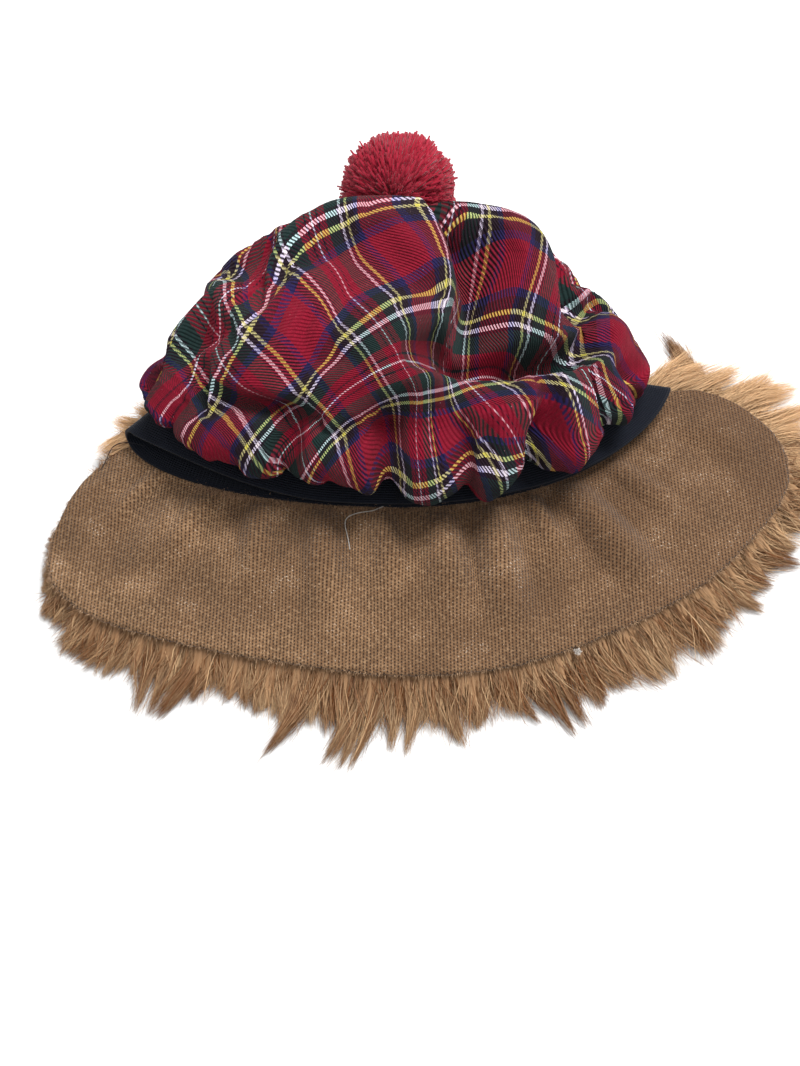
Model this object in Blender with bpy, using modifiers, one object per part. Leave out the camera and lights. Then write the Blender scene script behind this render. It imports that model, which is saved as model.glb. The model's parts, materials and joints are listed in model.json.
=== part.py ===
"""Costume tam with false hair, lying on its back.

Metres, +Z up. It rests on z = 0, with the hair flap towards -Y and the pompom towards +Y. While it
is worked out, x = 0 and y = 0 is the middle of the headband's free edge. The finished hat is then
moved so that the middle of its footprint is the origin.
"""
import math
import random

import bmesh
import bpy
import numpy as np
from mathutils import Vector
from mathutils.bvhtree import BVHTree

# Clearance between pieces, and how thick each cloth is
CLEARANCE = 0.0003
FLANNEL = 0.0014
ELASTIC = 0.0015
KNIT = 0.0015

# Headband: a closed strip of elastic, flattened into two layers
BAND_WIDTH = 0.023
BAND_HALF_SPAN = 0.1250
BAND_RISE_LEFT = 0.030
BAND_RISE_RIGHT = 0.058
BAND_END_TURN = math.radians(75)
BAND_FAN_RIGHT = 1.18
BAND_GAPE = 0.0080
BAND_LENS = 0.0055
BAND_LENS_AT = -0.78
BAND_LENS_HALF = 0.60
BAND_TILT = 0.0050
BAND_LEAD = 0.0030
BAND_RECESS = 0.0070

# Crown: a flat disc of flannel gathered into the band
CROWN_LENGTH = 0.155
CROWN_HEIGHT = 0.074
CROWN_HALF_WIDTH = 0.120
FOLD_DEPTH = 0.012
GATHER_LONG = 0.15
SEAM_HOLD = 0.06

# Hair flap: knitted backing with fur under it
FLAP_DEPTH = 0.0936
FLAP_END_TURN = math.radians(81)
FLAP_LAP = 0.012
PILE_DEPTH = 0.012
RIPPLE = 0.0035
RIPPLE_MIDDLE = 0.040
PILE_TUCK = 0.04
LOCK_REACH = 0.029
LOCK_WIDTH = 0.014
LOCK_TIP = 0.0012
LOCK_TIP_HEIGHT = 0.12
LOCK_ROOT = 0.35
LOCK_LENGTHS = (0.75, 1.15)
LOCK_LEANS = (-0.18, 0.18)

# Pompom of yarn tufts round a core
POMPOM_RADIUS = 0.031
TUFT_COUNT = 90
TUFT_RELIEF = 0.10
TUFT_SEED = 11

# Mesh steps: how finely each form is cut
STATIONS = 72
CROWN_ROWS = 17
FRONT_CROWDING = 0.3
SEAM_CROWDING = 1.2
EASE_STEPS = 2
EASE_SHARE = 0.5
EASE_RUN = 0.10
CURVE_EASE = 0.6
CORNER_STEPS = 1.5
BAND_ROWS = 2
FLAP_STATIONS = 48
FLAP_ROWS = 8
END_CROWDING = math.radians(72)
STEPS_PER_LOCK = 4
POMPOM_CUTS = 4

# The crown's mouth: lines that follow the band, before the cloth bulges free of it. across is the
# distance from the band's free edge and out the distance from its face, as shares of its width.
MOUTH_SECTIONS = (
    # along, front_across, front_out, back_across, back_out
    (0.00, 0.89, 0.00, 0.89, 0.00),
    (0.05, 0.62, 0.23, 1.14, 0.17),
)

# Sections of the crown on to its apex. along is the share of the cloth from the seam; the other
# columns are shares: y of the crown's length, z of its height, x of its half width. round is 1 for
# an oval section and less for a boxier one.
CROWN_SECTIONS = (
    # along, front_y, front_z, left_x, left_y, right_x, right_y, side_z, back_y, back_z, round
    (0.15, 0.050, 0.600, 0.965, 0.375, 0.925, 0.470, 0.480, 0.330, 0.020, 0.90),
    (0.26, 0.095, 0.800, 0.930, 0.440, 0.905, 0.505, 0.520, 0.410, 0.000, 0.90),
    (0.38, 0.205, 0.920, 0.875, 0.530, 0.860, 0.570, 0.530, 0.540, 0.000, 0.86),
    (0.50, 0.350, 0.975, 0.790, 0.650, 0.800, 0.655, 0.530, 0.670, 0.000, 0.82),
    (0.62, 0.510, 1.000, 0.690, 0.755, 0.715, 0.755, 0.520, 0.785, 0.000, 0.78),
    (0.74, 0.680, 1.000, 0.560, 0.850, 0.600, 0.850, 0.500, 0.880, 0.000, 0.74),
    (0.86, 0.860, 0.960, 0.370, 0.925, 0.400, 0.925, 0.470, 0.925, 0.070, 0.74),
    (0.94, 0.950, 0.790, 0.180, 0.945, 0.190, 0.945, 0.450, 0.935, 0.220, 0.80),
    (1.00, 0.950, 0.450, 0.000, 0.950, 0.000, 0.950, 0.450, 0.950, 0.450, 1.00),
)

# Folds, dents and gathers of the crown. turn is in degrees round the disc from the front middle,
# along is the share from seam to apex, wide and long are their half extents in the same units.
# raise is a share of the fold depth, below 0 for a dent, and lean pushes the fold sideways.
CROWN_FOLDS = (
    # name, turn, along, wide, long, raise, lean
    ("left lobe", -32, 0.52, 46, 0.44, 0.55, 0.2),
    ("lobe rim", 0, 0.58, 12, 0.36, 1.10, 0.8),
    ("valley", 15, 0.68, 11, 0.40, -1.70, 0.0),
    ("right lobe", 35, 0.68, 18, 0.22, 1.10, 0.4),
    ("right dent", 62, 0.62, 11, 0.20, -0.90, 0.0),
    ("far lobe", 74, 0.40, 13, 0.17, 0.60, 0.0),
    ("cross crease", 36, 0.43, 34, 0.085, -1.90, 0.0),
    ("rim crease", 8, 0.44, 12, 0.07, -0.80, 0.0),
    ("belly", 27, 0.29, 32, 0.11, 1.00, 0.0),
    ("left dent", -64, 0.42, 7, 0.16, -0.80, 0.0),
    ("pocket crease", -30, 0.29, 18, 0.06, -0.90, 0.0),
    ("bulge crease", -2, 0.22, 5, 0.13, -1.10, 0.0),
    ("belly crease", 31, 0.25, 5, 0.14, -0.90, 0.0),
    ("end crease", 50, 0.25, 5, 0.14, -0.70, 0.0),
)

# Gathers that hang over the band, from the left corner to the right one
CROWN_GATHERS = (
    # turn, wide, raise, along
    (-84, 9, 0.35, 0.15),
    (-68, 7, 0.35, 0.17),
    (-52, 8, 0.35, 0.17),
    (-31, 10, 0.80, 0.15),
    (-11, 8, 0.80, 0.15),
    (7, 9, 1.30, 0.14),
    (23, 9, 0.90, 0.15),
    (39, 8, 0.40, 0.17),
    (56, 9, 0.40, 0.17),
    (74, 9, 0.40, 0.18),
)

# The flap's outline: share along its sewn edge, heading from -Y in degrees, share of its depth
FLAP_OUTLINE = (
    # share, heading, reach
    (-1.00, -58, 0.175),
    (-0.95, -45, 0.520),
    (-0.87, -38, 0.760),
    (-0.75, -33, 0.905),
    (-0.60, -27, 0.955),
    (-0.40, -20, 0.957),
    (-0.20, -10, 0.965),
    (0.00, 0, 1.000),
    (0.20, 9, 0.995),
    (0.40, 20, 0.951),
    (0.60, 33, 0.924),
    (0.75, 45, 0.895),
    (0.87, 60, 0.865),
    (0.95, 72, 0.715),
    (1.00, 92, 0.280),
)

# Ripples of the backing, as waves along its sewn edge
RIPPLE_WAVES = (
    # share of the ripple's height, turns of the wave in radians, start in radians
    (0.30, 21.0, 0.7),
    (0.20, 34.0, 2.0),
)

# Section of a lock: share of its reach, share of the pile's depth
LOCK_SHOULDERS = (
    # out, height
    (0.45, 0.72),
    (0.80, 0.42),
)
LOCK_UNDERSIDE = 0.60

# How far the locks reach round the rim, from the flap's left end to its right end
LOCK_ENVELOPE = (
    # share of the rim, share of the locks' full reach
    (0.00, 0.60),
    (0.05, 0.25),
    (0.14, 0.25),
    (0.21, 0.80),
    (0.30, 0.95),
    (0.48, 1.00),
    (0.62, 0.90),
    (0.72, 1.00),
    (0.82, 0.75),
    (0.92, 0.55),
    (1.00, 0.95),
)

# Locks that stand out from the others: share of the rim, how much longer, how far they lean
LONG_LOCKS = (
    # share, longer, lean
    (0.34, 0.20, 0.10),
    (0.52, 0.25, 0.15),
    (0.72, 0.45, 0.20),
    (0.98, 0.60, 0.25),
)


def unit(vectors):
    """Vectors scaled to length 1, along the last axis."""
    return vectors / np.maximum(np.linalg.norm(vectors, axis=-1, keepdims=True), 1e-12)


def smooth_column(shares, columns, at):
    """Columns of a table at the shares asked for, on a smooth curve through its rows."""
    shares = np.asarray(shares, float)
    columns = np.asarray(columns, float)
    slopes = np.gradient(columns, shares, axis=0) * CURVE_EASE
    at = np.atleast_1d(np.asarray(at, float))
    row = np.clip(np.searchsorted(shares, at, side="right") - 1, 0, len(shares) - 2)
    step = shares[row + 1] - shares[row]
    part = ((at - shares[row]) / step)[:, None]
    step = step[:, None]
    near, far = columns[row], columns[row + 1]
    rise, fall = slopes[row] * step, slopes[row + 1] * step
    return ((2 * part ** 3 - 3 * part ** 2 + 1) * near + (part ** 3 - 2 * part ** 2 + part) * rise
            + (3 * part ** 2 - 2 * part ** 3) * far + (part ** 3 - part ** 2) * fall)


def bump(distance):
    """A smooth hill: 1 at distance 0, and 0 from distance 1 outwards."""
    near = np.clip(np.abs(distance), 0, 1)
    return (1 - near ** 2) ** 2


def edge_in_plan(share, end_turn):
    """Points of the band's free edge, and its inward directions, seen from above."""
    turn = np.asarray(share, float) * end_turn
    half = BAND_HALF_SPAN / math.sin(BAND_END_TURN)
    rise = np.where(turn < 0, BAND_RISE_LEFT, BAND_RISE_RIGHT) / (1 - math.cos(BAND_END_TURN))
    points = np.stack([half * np.sin(turn), rise * (1 - np.cos(turn))], axis=-1)
    tangent = unit(np.stack([half * np.cos(turn), rise * np.sin(turn)], axis=-1))
    fan = turn * np.where(turn < 0, 1, BAND_FAN_RIGHT)
    inward = unit(np.stack([-rise * np.sin(fan), half * np.cos(fan)], axis=-1))
    return points, tangent, inward


def back_layer_height():
    """Middle height of the band's back layer, which lies on the flap."""
    return PILE_DEPTH + CLEARANCE + KNIT + CLEARANCE + ELASTIC / 2


def station_turns():
    """Turns of the points on a closed line, in degrees, closer together at the front."""
    even = np.linspace(0, 2 * math.pi, STATIONS, endpoint=False)
    return np.degrees(even - FRONT_CROWDING * np.sin(even))


def band_ring(front_across, front_out, back_across, back_out):
    """One closed line of the band, from the front middle to the right and round.

    across is the distance from the free edge, and out is how far the line lies outside the middle
    of the elastic, both for the front layer and for the back one.
    """
    turns = station_turns()
    turns = np.where(turns > 180, turns - 360, turns)
    cap = CORNER_STEPS * 360.0 / STATIONS
    side = np.sign(turns)
    past_corner = np.clip((np.abs(turns) - 90) / cap, -1, 1)
    run = np.where(past_corner < 0, np.abs(turns), 180 - np.abs(turns))
    share = side * np.clip(run / (90 - cap), 0, 1)
    points, tangent, inward = edge_in_plan(share, BAND_END_TURN)
    # front is 1 on the front layer, 0 on the back layer, and between them round a corner
    layer = np.cos((past_corner + 1) * math.pi / 2)
    past_end = np.sin((past_corner + 1) * math.pi / 2)
    front = (1 + layer) / 2
    across = back_across + (front_across - back_across) * front
    out = back_out + (front_out - back_out) * front
    lens = bump((share - BAND_LENS_AT) / BAND_LENS_HALF)
    half_gape = (BAND_GAPE + BAND_LENS * lens) / 2
    lead = BAND_RECESS * lens - BAND_LEAD
    plan = points + inward * (across + lead * front)[:, None]
    plan = plan + tangent * (side * past_end * (half_gape + out))[:, None]
    height = back_layer_height() + half_gape + layer * (half_gape + out)
    height = height + BAND_TILT * front * across / BAND_WIDTH
    return np.column_stack([plan, height])


def crown_section(front, left, right, back, fullness):
    """A closed line of the crown. front and back are y and z; left and right are x, y and z."""
    turns = np.radians(station_turns())
    toward = np.cos(turns)[:, None]
    aside = np.sin(turns)[:, None]
    side = np.where(aside > 0, right, left)
    end = np.where(toward > 0, front, back)
    across = np.abs(aside) ** fullness * side[:, :1]
    return np.hstack([across, side[:, 1:] + (end - side[:, 1:]) * np.abs(toward) ** fullness])


def crown_rows():
    """Closed lines of the crown's outer face, from its seam on the band to its apex."""
    on_band = ELASTIC / 2 + CLEARANCE + FLANNEL
    sections = []
    shares = []
    for along, *columns in MOUTH_SECTIONS:
        front_across, front_out, back_across, back_out = np.array(columns) * BAND_WIDTH
        sections.append(band_ring(front_across, on_band + front_out, back_across, on_band + back_out))
        shares.append(along)
    size = np.array([CROWN_HALF_WIDTH, CROWN_LENGTH, CROWN_HEIGHT])
    for along, *columns, fullness in CROWN_SECTIONS:
        front_y, front_z, left_x, left_y, right_x, right_y, side_z, back_y, back_z = columns
        sections.append(crown_section(
            size[1:] * (front_y, front_z), size * (-left_x, left_y, side_z),
            size * (right_x, right_y, side_z), size[1:] * (back_y, back_z), fullness))
        shares.append(along)
    rows = np.linspace(0, 1, CROWN_ROWS + 1) ** SEAM_CROWDING
    flat = np.array(sections).reshape(len(sections), -1)
    return rows, smooth_column(shares, flat, rows).reshape(len(rows), STATIONS, 3)


def outward_of(grid):
    """Outward directions on a grid of closed rows."""
    around = np.roll(grid, -1, axis=1) - np.roll(grid, 1, axis=1)
    along = np.gradient(grid, axis=0)
    normal = unit(np.cross(around, along))
    centre = grid.mean(axis=(0, 1))
    if np.sum(normal * (grid - centre)) < 0:
        normal = -normal
    return normal


def turn_apart(turns, middle):
    """Degrees from a turn, the short way round."""
    return (turns - middle + 180) % 360 - 180


def eased(grid, free):
    """Closed rows moved towards their neighbours, each by its free share from 0 to 1."""
    around = (np.roll(grid, -1, axis=1) + np.roll(grid, 1, axis=1))[1:-1]
    along = grid[2:] + grid[:-2]
    middle = grid[1:-1]
    shift = (around + along) / 4 - middle
    return np.concatenate([grid[:1], middle + shift * free[1:-1, None, None], grid[-1:]])


def crown_grid():
    """The crown's outer face with its folds and gathers, as closed rows of points."""
    rows, grid = crown_rows()
    mouth_end = MOUTH_SECTIONS[-1][0]
    for _ in range(EASE_STEPS):
        grid = eased(grid, EASE_SHARE * np.clip((rows - mouth_end) / EASE_RUN, 0, 1))
    turns = station_turns()
    outward = outward_of(grid)
    lift = np.zeros(grid.shape[:2])
    sideways = np.zeros(grid.shape[:2])
    for _, turn, along, wide, long, height, lean in CROWN_FOLDS:
        hill = bump(turn_apart(turns, turn) / wide) * bump((rows[:, None] - along) / long)
        lift += hill * height * FOLD_DEPTH
        sideways += hill * lean * FOLD_DEPTH
    for turn, wide, height, along in CROWN_GATHERS:
        hill = bump(turn_apart(turns, turn) / wide) * bump((rows[:, None] - along) / GATHER_LONG)
        lift += hill * height * FOLD_DEPTH
    free = np.clip(rows / SEAM_HOLD, 0, 1)[:, None]
    around = unit(np.roll(grid, -1, axis=1) - np.roll(grid, 1, axis=1))
    grid = grid + outward * (lift * free)[..., None] + around * (sideways * free)[..., None]
    grid[..., 2] = np.maximum(grid[..., 2], 0)
    return grid


def new_object(name, mesh, material):
    """A smooth-shaded object of the hat."""
    for polygon in mesh.polygons:
        polygon.use_smooth = True
    mesh.materials.append(material)
    item = bpy.data.objects.new(name, mesh)
    bpy.data.collections["tartan_hat"].objects.link(item)
    return item


def solid_shell(item, thickness, offset):
    """Gives an open surface its wall."""
    wall = item.modifiers.new("wall", "SOLIDIFY")
    wall.thickness = thickness
    wall.offset = offset
    wall.use_even_offset = False


def surface(name, grid, closed, pole=None):
    """A mesh through rows of points, each row closed or open, with an optional point to end on."""
    bm = bmesh.new()
    rows = [[bm.verts.new(point) for point in row] for row in grid]
    for near, far in zip(rows, rows[1:]):
        count = len(near) if closed else len(near) - 1
        for k in range(count):
            after = (k + 1) % len(near)
            bm.faces.new((near[k], near[after], far[after], far[k]))
    if pole is not None:
        tip = bm.verts.new(pole)
        last = rows[-1]
        for k in range(len(last)):
            bm.faces.new((last[k], last[(k + 1) % len(last)], tip))
    bmesh.ops.recalc_face_normals(bm, faces=bm.faces)
    mesh = bpy.data.meshes.new(name)
    bm.to_mesh(mesh)
    bm.free()
    return mesh


def matte(name, colour, roughness):
    """A plain cloth material."""
    material = bpy.data.materials.new(name)
    material.use_nodes = True
    shader = material.node_tree.nodes["Principled BSDF"]
    shader.inputs["Base Color"].default_value = (*colour, 1)
    shader.inputs["Roughness"].default_value = roughness
    shader.inputs["Metallic"].default_value = 0
    return material


def make_crown(grid):
    """The tartan bag, open at its seam."""
    mesh = surface("crown", grid[:-1], True, grid[-1].mean(axis=0))
    crown = new_object("crown", mesh, matte("tartan flannel", (0.42, 0.03, 0.07), 0.9))
    solid_shell(crown, FLANNEL, -1)
    return crown


def make_headband():
    """The closed strip of elastic."""
    steps = np.linspace(0, BAND_WIDTH, BAND_ROWS + 1)
    mesh = surface("headband", [band_ring(across, 0, across, 0) for across in steps], True)
    band = new_object("headband", mesh, matte("elastic", (0.01, 0.012, 0.02), 0.7))
    solid_shell(band, ELASTIC, 0)
    return band


def flap_lines(shares):
    """Sewn points of the flap, and its outer points, seen from above."""
    points, _, inward = edge_in_plan(shares, FLAP_END_TURN)
    sewn = points + inward * FLAP_LAP
    table = np.array(FLAP_OUTLINE)
    heading, reach = smooth_column(table[:, 0], table[:, 1:], shares).T
    heading = np.radians(heading)
    direction = np.stack([np.sin(heading), -np.cos(heading)], axis=-1)
    return sewn, sewn + direction * (reach * FLAP_DEPTH)[:, None]


def make_backing():
    """The knitted backing, rippled by its gathers beyond the band."""
    turns = np.linspace(-1, 1, FLAP_STATIONS + 1) * END_CROWDING
    shares = np.sin(turns) / math.sin(END_CROWDING)
    sewn, outer = flap_lines(shares)
    depth = np.linalg.norm(outer - sewn, axis=1)
    wave = sum(height * (1 + np.sin(shares * turn + start)) for height, turn, start in RIPPLE_WAVES)
    rows = []
    for part in np.linspace(0, 1, FLAP_ROWS + 1):
        free = bump((part * depth - RIPPLE_MIDDLE) / (RIPPLE_MIDDLE - FLAP_LAP))
        height = PILE_DEPTH + CLEARANCE + RIPPLE * free * wave
        rows.append(np.column_stack([sewn + (outer - sewn) * part, height]))
    mesh = surface("hair_backing", rows, False)
    backing = new_object("hair_backing", mesh, matte("knit", (0.30, 0.16, 0.07), 0.95))
    solid_shell(backing, KNIT, 1)
    return backing


def pile_rim():
    """Points along the flap's outer edge at even steps, with their shares and directions."""
    _, outer = flap_lines(np.linspace(-1, 1, 8 * FLAP_STATIONS))
    length = np.concatenate([[0], np.cumsum(np.linalg.norm(np.diff(outer, axis=0), axis=1))])
    locks = round(length[-1] / LOCK_WIDTH)
    at = np.linspace(0, 1, locks * STEPS_PER_LOCK + 1)
    rim = np.column_stack([np.interp(at * length[-1], length, outer[:, k]) for k in range(2)])
    tangent = unit(np.gradient(rim, axis=0))
    outward = np.column_stack([tangent[:, 1], -tangent[:, 0]])
    return at, rim, outward, tangent


def make_pile():
    """The fur: a flat-bottomed layer under the backing, with locks fused all round its rim."""
    at, rim, outward, tangent = pile_rim()
    steps = np.arange(len(at))
    lock = steps // STEPS_PER_LOCK
    draw = random.Random(TUFT_SEED)
    lengths = np.array([draw.uniform(*LOCK_LENGTHS) for _ in range(lock[-1] + 1)])
    leans = np.array([draw.uniform(*LOCK_LEANS) for _ in range(lock[-1] + 1)])
    for share, longer, lean in LONG_LOCKS:
        chosen = round(share * lock[-1])
        lengths[chosen] += longer
        leans[chosen] += lean
    # 0 in the notch between two locks, 1 at a lock's tip
    crest = 1 - np.abs((steps % STEPS_PER_LOCK) / STEPS_PER_LOCK * 2 - 1)
    envelope = np.interp(at, *np.array(LOCK_ENVELOPE).T)
    reach = LOCK_REACH * envelope * (LOCK_ROOT + (lengths[lock] - LOCK_ROOT) * crest)
    lean = reach * leans[lock] * crest
    sewn, _ = flap_lines(at * 2 - 1)
    under = sewn + (rim - sewn) * PILE_TUCK

    def past_rim(out):
        return rim + outward * (reach * out)[:, None] + tangent * (lean * out ** 2)[:, None]

    tip_height = LOCK_TIP_HEIGHT * PILE_DEPTH
    rows = [(under, PILE_DEPTH), ((sewn + rim) / 2, PILE_DEPTH), (rim, PILE_DEPTH)]
    rows += [(past_rim(out), PILE_DEPTH * height) for out, height in LOCK_SHOULDERS]
    rows += [(past_rim(1), tip_height + LOCK_TIP), (past_rim(1), tip_height)]
    rows += [(past_rim(LOCK_UNDERSIDE), 0), (rim - outward * LOCK_TIP, 0), (under, 0)]
    grid = [np.column_stack([plan, np.full(len(plan), height)]) for plan, height in rows]
    bm = bmesh.new()
    lines = [[bm.verts.new(point) for point in row] for row in grid]
    ring = len(lines)
    for k in range(ring):
        near, far = lines[k], lines[(k + 1) % ring]
        for step in range(len(near) - 1):
            bm.faces.new((near[step], near[step + 1], far[step + 1], far[step]))
    for end in (0, -1):
        bm.faces.new([line[end] for line in lines])
    bmesh.ops.triangulate(bm, faces=[face for face in bm.faces if len(face.verts) > 4])
    bmesh.ops.recalc_face_normals(bm, faces=bm.faces)
    mesh = bpy.data.meshes.new("hair_pile")
    bm.to_mesh(mesh)
    bm.free()
    return new_object("hair_pile", mesh, matte("fur", (0.34, 0.16, 0.06), 0.9))


def reach_between(near, far, direction):
    """The shortest way along a direction from the points of one mesh to another mesh."""
    bm = bmesh.new()
    bm.from_mesh(far)
    tree = BVHTree.FromBMesh(bm)
    bm.free()
    hits = [tree.ray_cast(vert.co, direction)[3] for vert in near.vertices]
    return min(hit for hit in hits if hit is not None)


def make_pompom(crown_mesh):
    """Yarn tufts fused round a core, lying on the surface against the crown's apex."""
    bm = bmesh.new()
    bmesh.ops.create_icosphere(bm, subdivisions=POMPOM_CUTS, radius=1)
    golden = math.pi * (3 - math.sqrt(5))
    places = np.arange(TUFT_COUNT)
    level = 1 - 2 * (places + 0.5) / TUFT_COUNT
    ring = np.sqrt(1 - level ** 2)
    tufts = np.column_stack([ring * np.cos(golden * places), ring * np.sin(golden * places), level])
    spacing = math.sqrt(4 * math.pi / TUFT_COUNT) / 2
    for vert in bm.verts:
        apart = np.arccos(np.clip(tufts @ np.array(vert.co), -1, 1)).min()
        vert.co *= 1 - TUFT_RELIEF * min(1, apart / spacing) ** 2
    mesh = bpy.data.meshes.new("pompom")
    bm.to_mesh(mesh)
    bm.free()
    low = min(vert.co.z for vert in mesh.vertices)
    behind = Vector((0, 2 * CROWN_LENGTH, -low * POMPOM_RADIUS))
    for vert in mesh.vertices:
        vert.co = vert.co * POMPOM_RADIUS + behind
    # slid forward until it almost touches the crown
    way = min(reach_between(mesh, crown_mesh, (0, -1, 0)), reach_between(crown_mesh, mesh, (0, 1, 0)))
    for vert in mesh.vertices:
        vert.co.y -= way - CLEARANCE
    return new_object("pompom", mesh, matte("yarn", (0.55, 0.02, 0.06), 0.85))


def stand_on_footprint(pieces):
    """Moves the hat so that the middle of its footprint is the origin."""
    base = bpy.data.objects.new("hat_frame", None)
    bpy.data.collections["tartan_hat"].objects.link(base)
    bpy.context.view_layer.update()
    depsgraph = bpy.context.evaluated_depsgraph_get()
    corners = []
    for piece in pieces:
        shown = piece.evaluated_get(depsgraph)
        corners += [shown.matrix_world @ vert.co for vert in shown.data.vertices]
        piece.parent = base
    xs = [corner.x for corner in corners]
    ys = [corner.y for corner in corners]
    base.location = (-(min(xs) + max(xs)) / 2, -(min(ys) + max(ys)) / 2, 0)


def main():
    """Builds the hat."""
    for item in list(bpy.data.objects):
        bpy.data.objects.remove(item)
    bpy.context.scene.collection.children.link(bpy.data.collections.new("tartan_hat"))
    crown = make_crown(crown_grid())
    pompom = make_pompom(crown.data)
    stand_on_footprint([crown, make_headband(), make_backing(), make_pile(), pompom])


main()
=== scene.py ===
"""Looks of the tartan hat: flannel, elastic, knitted backing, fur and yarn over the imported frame.

Metres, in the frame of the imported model. Forms are worked out where x = 0 and y = 0 is the middle
of the headband's free edge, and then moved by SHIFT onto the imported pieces.
"""

import json
import math

import bpy
import numpy as np
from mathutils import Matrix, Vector, noise

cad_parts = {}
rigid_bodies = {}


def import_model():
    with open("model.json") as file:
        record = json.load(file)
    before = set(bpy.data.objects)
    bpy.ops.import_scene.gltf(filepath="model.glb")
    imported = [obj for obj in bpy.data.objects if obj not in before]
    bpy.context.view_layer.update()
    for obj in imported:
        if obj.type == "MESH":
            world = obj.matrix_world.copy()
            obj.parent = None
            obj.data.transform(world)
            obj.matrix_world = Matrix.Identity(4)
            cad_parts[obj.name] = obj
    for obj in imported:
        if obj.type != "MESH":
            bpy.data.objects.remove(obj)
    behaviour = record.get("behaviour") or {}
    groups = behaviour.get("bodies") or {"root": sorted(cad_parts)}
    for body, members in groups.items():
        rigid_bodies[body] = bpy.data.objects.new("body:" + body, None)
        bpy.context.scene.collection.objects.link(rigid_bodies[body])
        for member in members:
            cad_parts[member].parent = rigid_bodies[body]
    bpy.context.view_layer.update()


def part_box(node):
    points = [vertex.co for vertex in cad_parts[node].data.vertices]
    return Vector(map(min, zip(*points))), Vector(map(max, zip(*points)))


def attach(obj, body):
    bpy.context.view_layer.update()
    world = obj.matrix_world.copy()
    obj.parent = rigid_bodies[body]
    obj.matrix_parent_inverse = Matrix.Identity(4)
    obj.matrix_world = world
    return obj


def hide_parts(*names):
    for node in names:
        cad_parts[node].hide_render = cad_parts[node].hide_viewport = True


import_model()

# Sizes shared with the solids
CLEARANCE = 0.0003
FLANNEL = 0.0014
ELASTIC = 0.0015
KNIT = 0.0015
BAND_WIDTH = 0.023
BAND_HALF_SPAN = 0.1250
BAND_RISE_LEFT = 0.030
BAND_RISE_RIGHT = 0.058
BAND_END_TURN = math.radians(75)
BAND_FAN_RIGHT = 1.18
BAND_GAPE = 0.0080
BAND_LENS = 0.0055
BAND_LENS_AT = -0.78
BAND_LENS_HALF = 0.60
BAND_TILT = 0.0050
BAND_LEAD = 0.0030
BAND_RECESS = 0.0070
CROWN_LENGTH = 0.155
CROWN_HEIGHT = 0.074
CROWN_HALF_WIDTH = 0.120
FOLD_DEPTH = 0.012
GATHER_LONG = 0.15
SEAM_HOLD = 0.06
FLAP_DEPTH = 0.0936
FLAP_END_TURN = math.radians(81)
FLAP_LAP = 0.012
PILE_DEPTH = 0.012
RIPPLE = 0.0035
RIPPLE_MIDDLE = 0.040
PILE_TUCK = 0.04
LOCK_REACH = 0.029
POMPOM_RADIUS = 0.031
COARSE_STATIONS = 72
COARSE_ROWS = 17
FRONT_CROWDING = 0.3
SEAM_CROWDING = 1.2
EASE_STEPS = 2
EASE_SHARE = 0.5
EASE_RUN = 0.10
CURVE_EASE = 0.6
CORNER_DEGREES = 7.5
END_CROWDING = math.radians(72)

MOUTH_SECTIONS = (
    (0.00, 0.89, 0.00, 0.89, 0.00),
    (0.05, 0.62, 0.23, 1.14, 0.17),
)
CROWN_SECTIONS = (
    (0.15, 0.050, 0.600, 0.965, 0.375, 0.925, 0.470, 0.480, 0.330, 0.020, 0.90),
    (0.26, 0.095, 0.800, 0.930, 0.440, 0.905, 0.505, 0.520, 0.410, 0.000, 0.90),
    (0.38, 0.205, 0.920, 0.875, 0.530, 0.860, 0.570, 0.530, 0.540, 0.000, 0.86),
    (0.50, 0.350, 0.975, 0.790, 0.650, 0.800, 0.655, 0.530, 0.670, 0.000, 0.82),
    (0.62, 0.510, 1.000, 0.690, 0.755, 0.715, 0.755, 0.520, 0.785, 0.000, 0.78),
    (0.74, 0.680, 1.000, 0.560, 0.850, 0.600, 0.850, 0.500, 0.880, 0.000, 0.74),
    (0.86, 0.860, 0.960, 0.370, 0.925, 0.400, 0.925, 0.470, 0.925, 0.070, 0.74),
    (0.94, 0.950, 0.790, 0.180, 0.945, 0.190, 0.945, 0.450, 0.935, 0.220, 0.80),
    (1.00, 0.950, 0.450, 0.000, 0.950, 0.000, 0.950, 0.450, 0.950, 0.450, 1.00),
)
# turn, along, wide, long, raise, lean
CROWN_FOLDS = (
    (-32, 0.52, 46, 0.44, 0.55, 0.2),
    (0, 0.58, 12, 0.36, 1.10, 0.8),
    (15, 0.68, 11, 0.40, -1.70, 0.0),
    (35, 0.68, 18, 0.22, 1.10, 0.4),
    (62, 0.62, 11, 0.20, -0.90, 0.0),
    (74, 0.40, 13, 0.17, 0.60, 0.0),
    (36, 0.43, 34, 0.085, -1.90, 0.0),
    (8, 0.44, 12, 0.07, -0.80, 0.0),
    (27, 0.29, 32, 0.11, 1.00, 0.0),
    (-64, 0.42, 7, 0.16, -0.80, 0.0),
    (-30, 0.29, 18, 0.06, -0.90, 0.0),
    (-2, 0.22, 5, 0.13, -1.10, 0.0),
    (31, 0.25, 5, 0.14, -0.90, 0.0),
    (50, 0.25, 5, 0.14, -0.70, 0.0),
)
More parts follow.
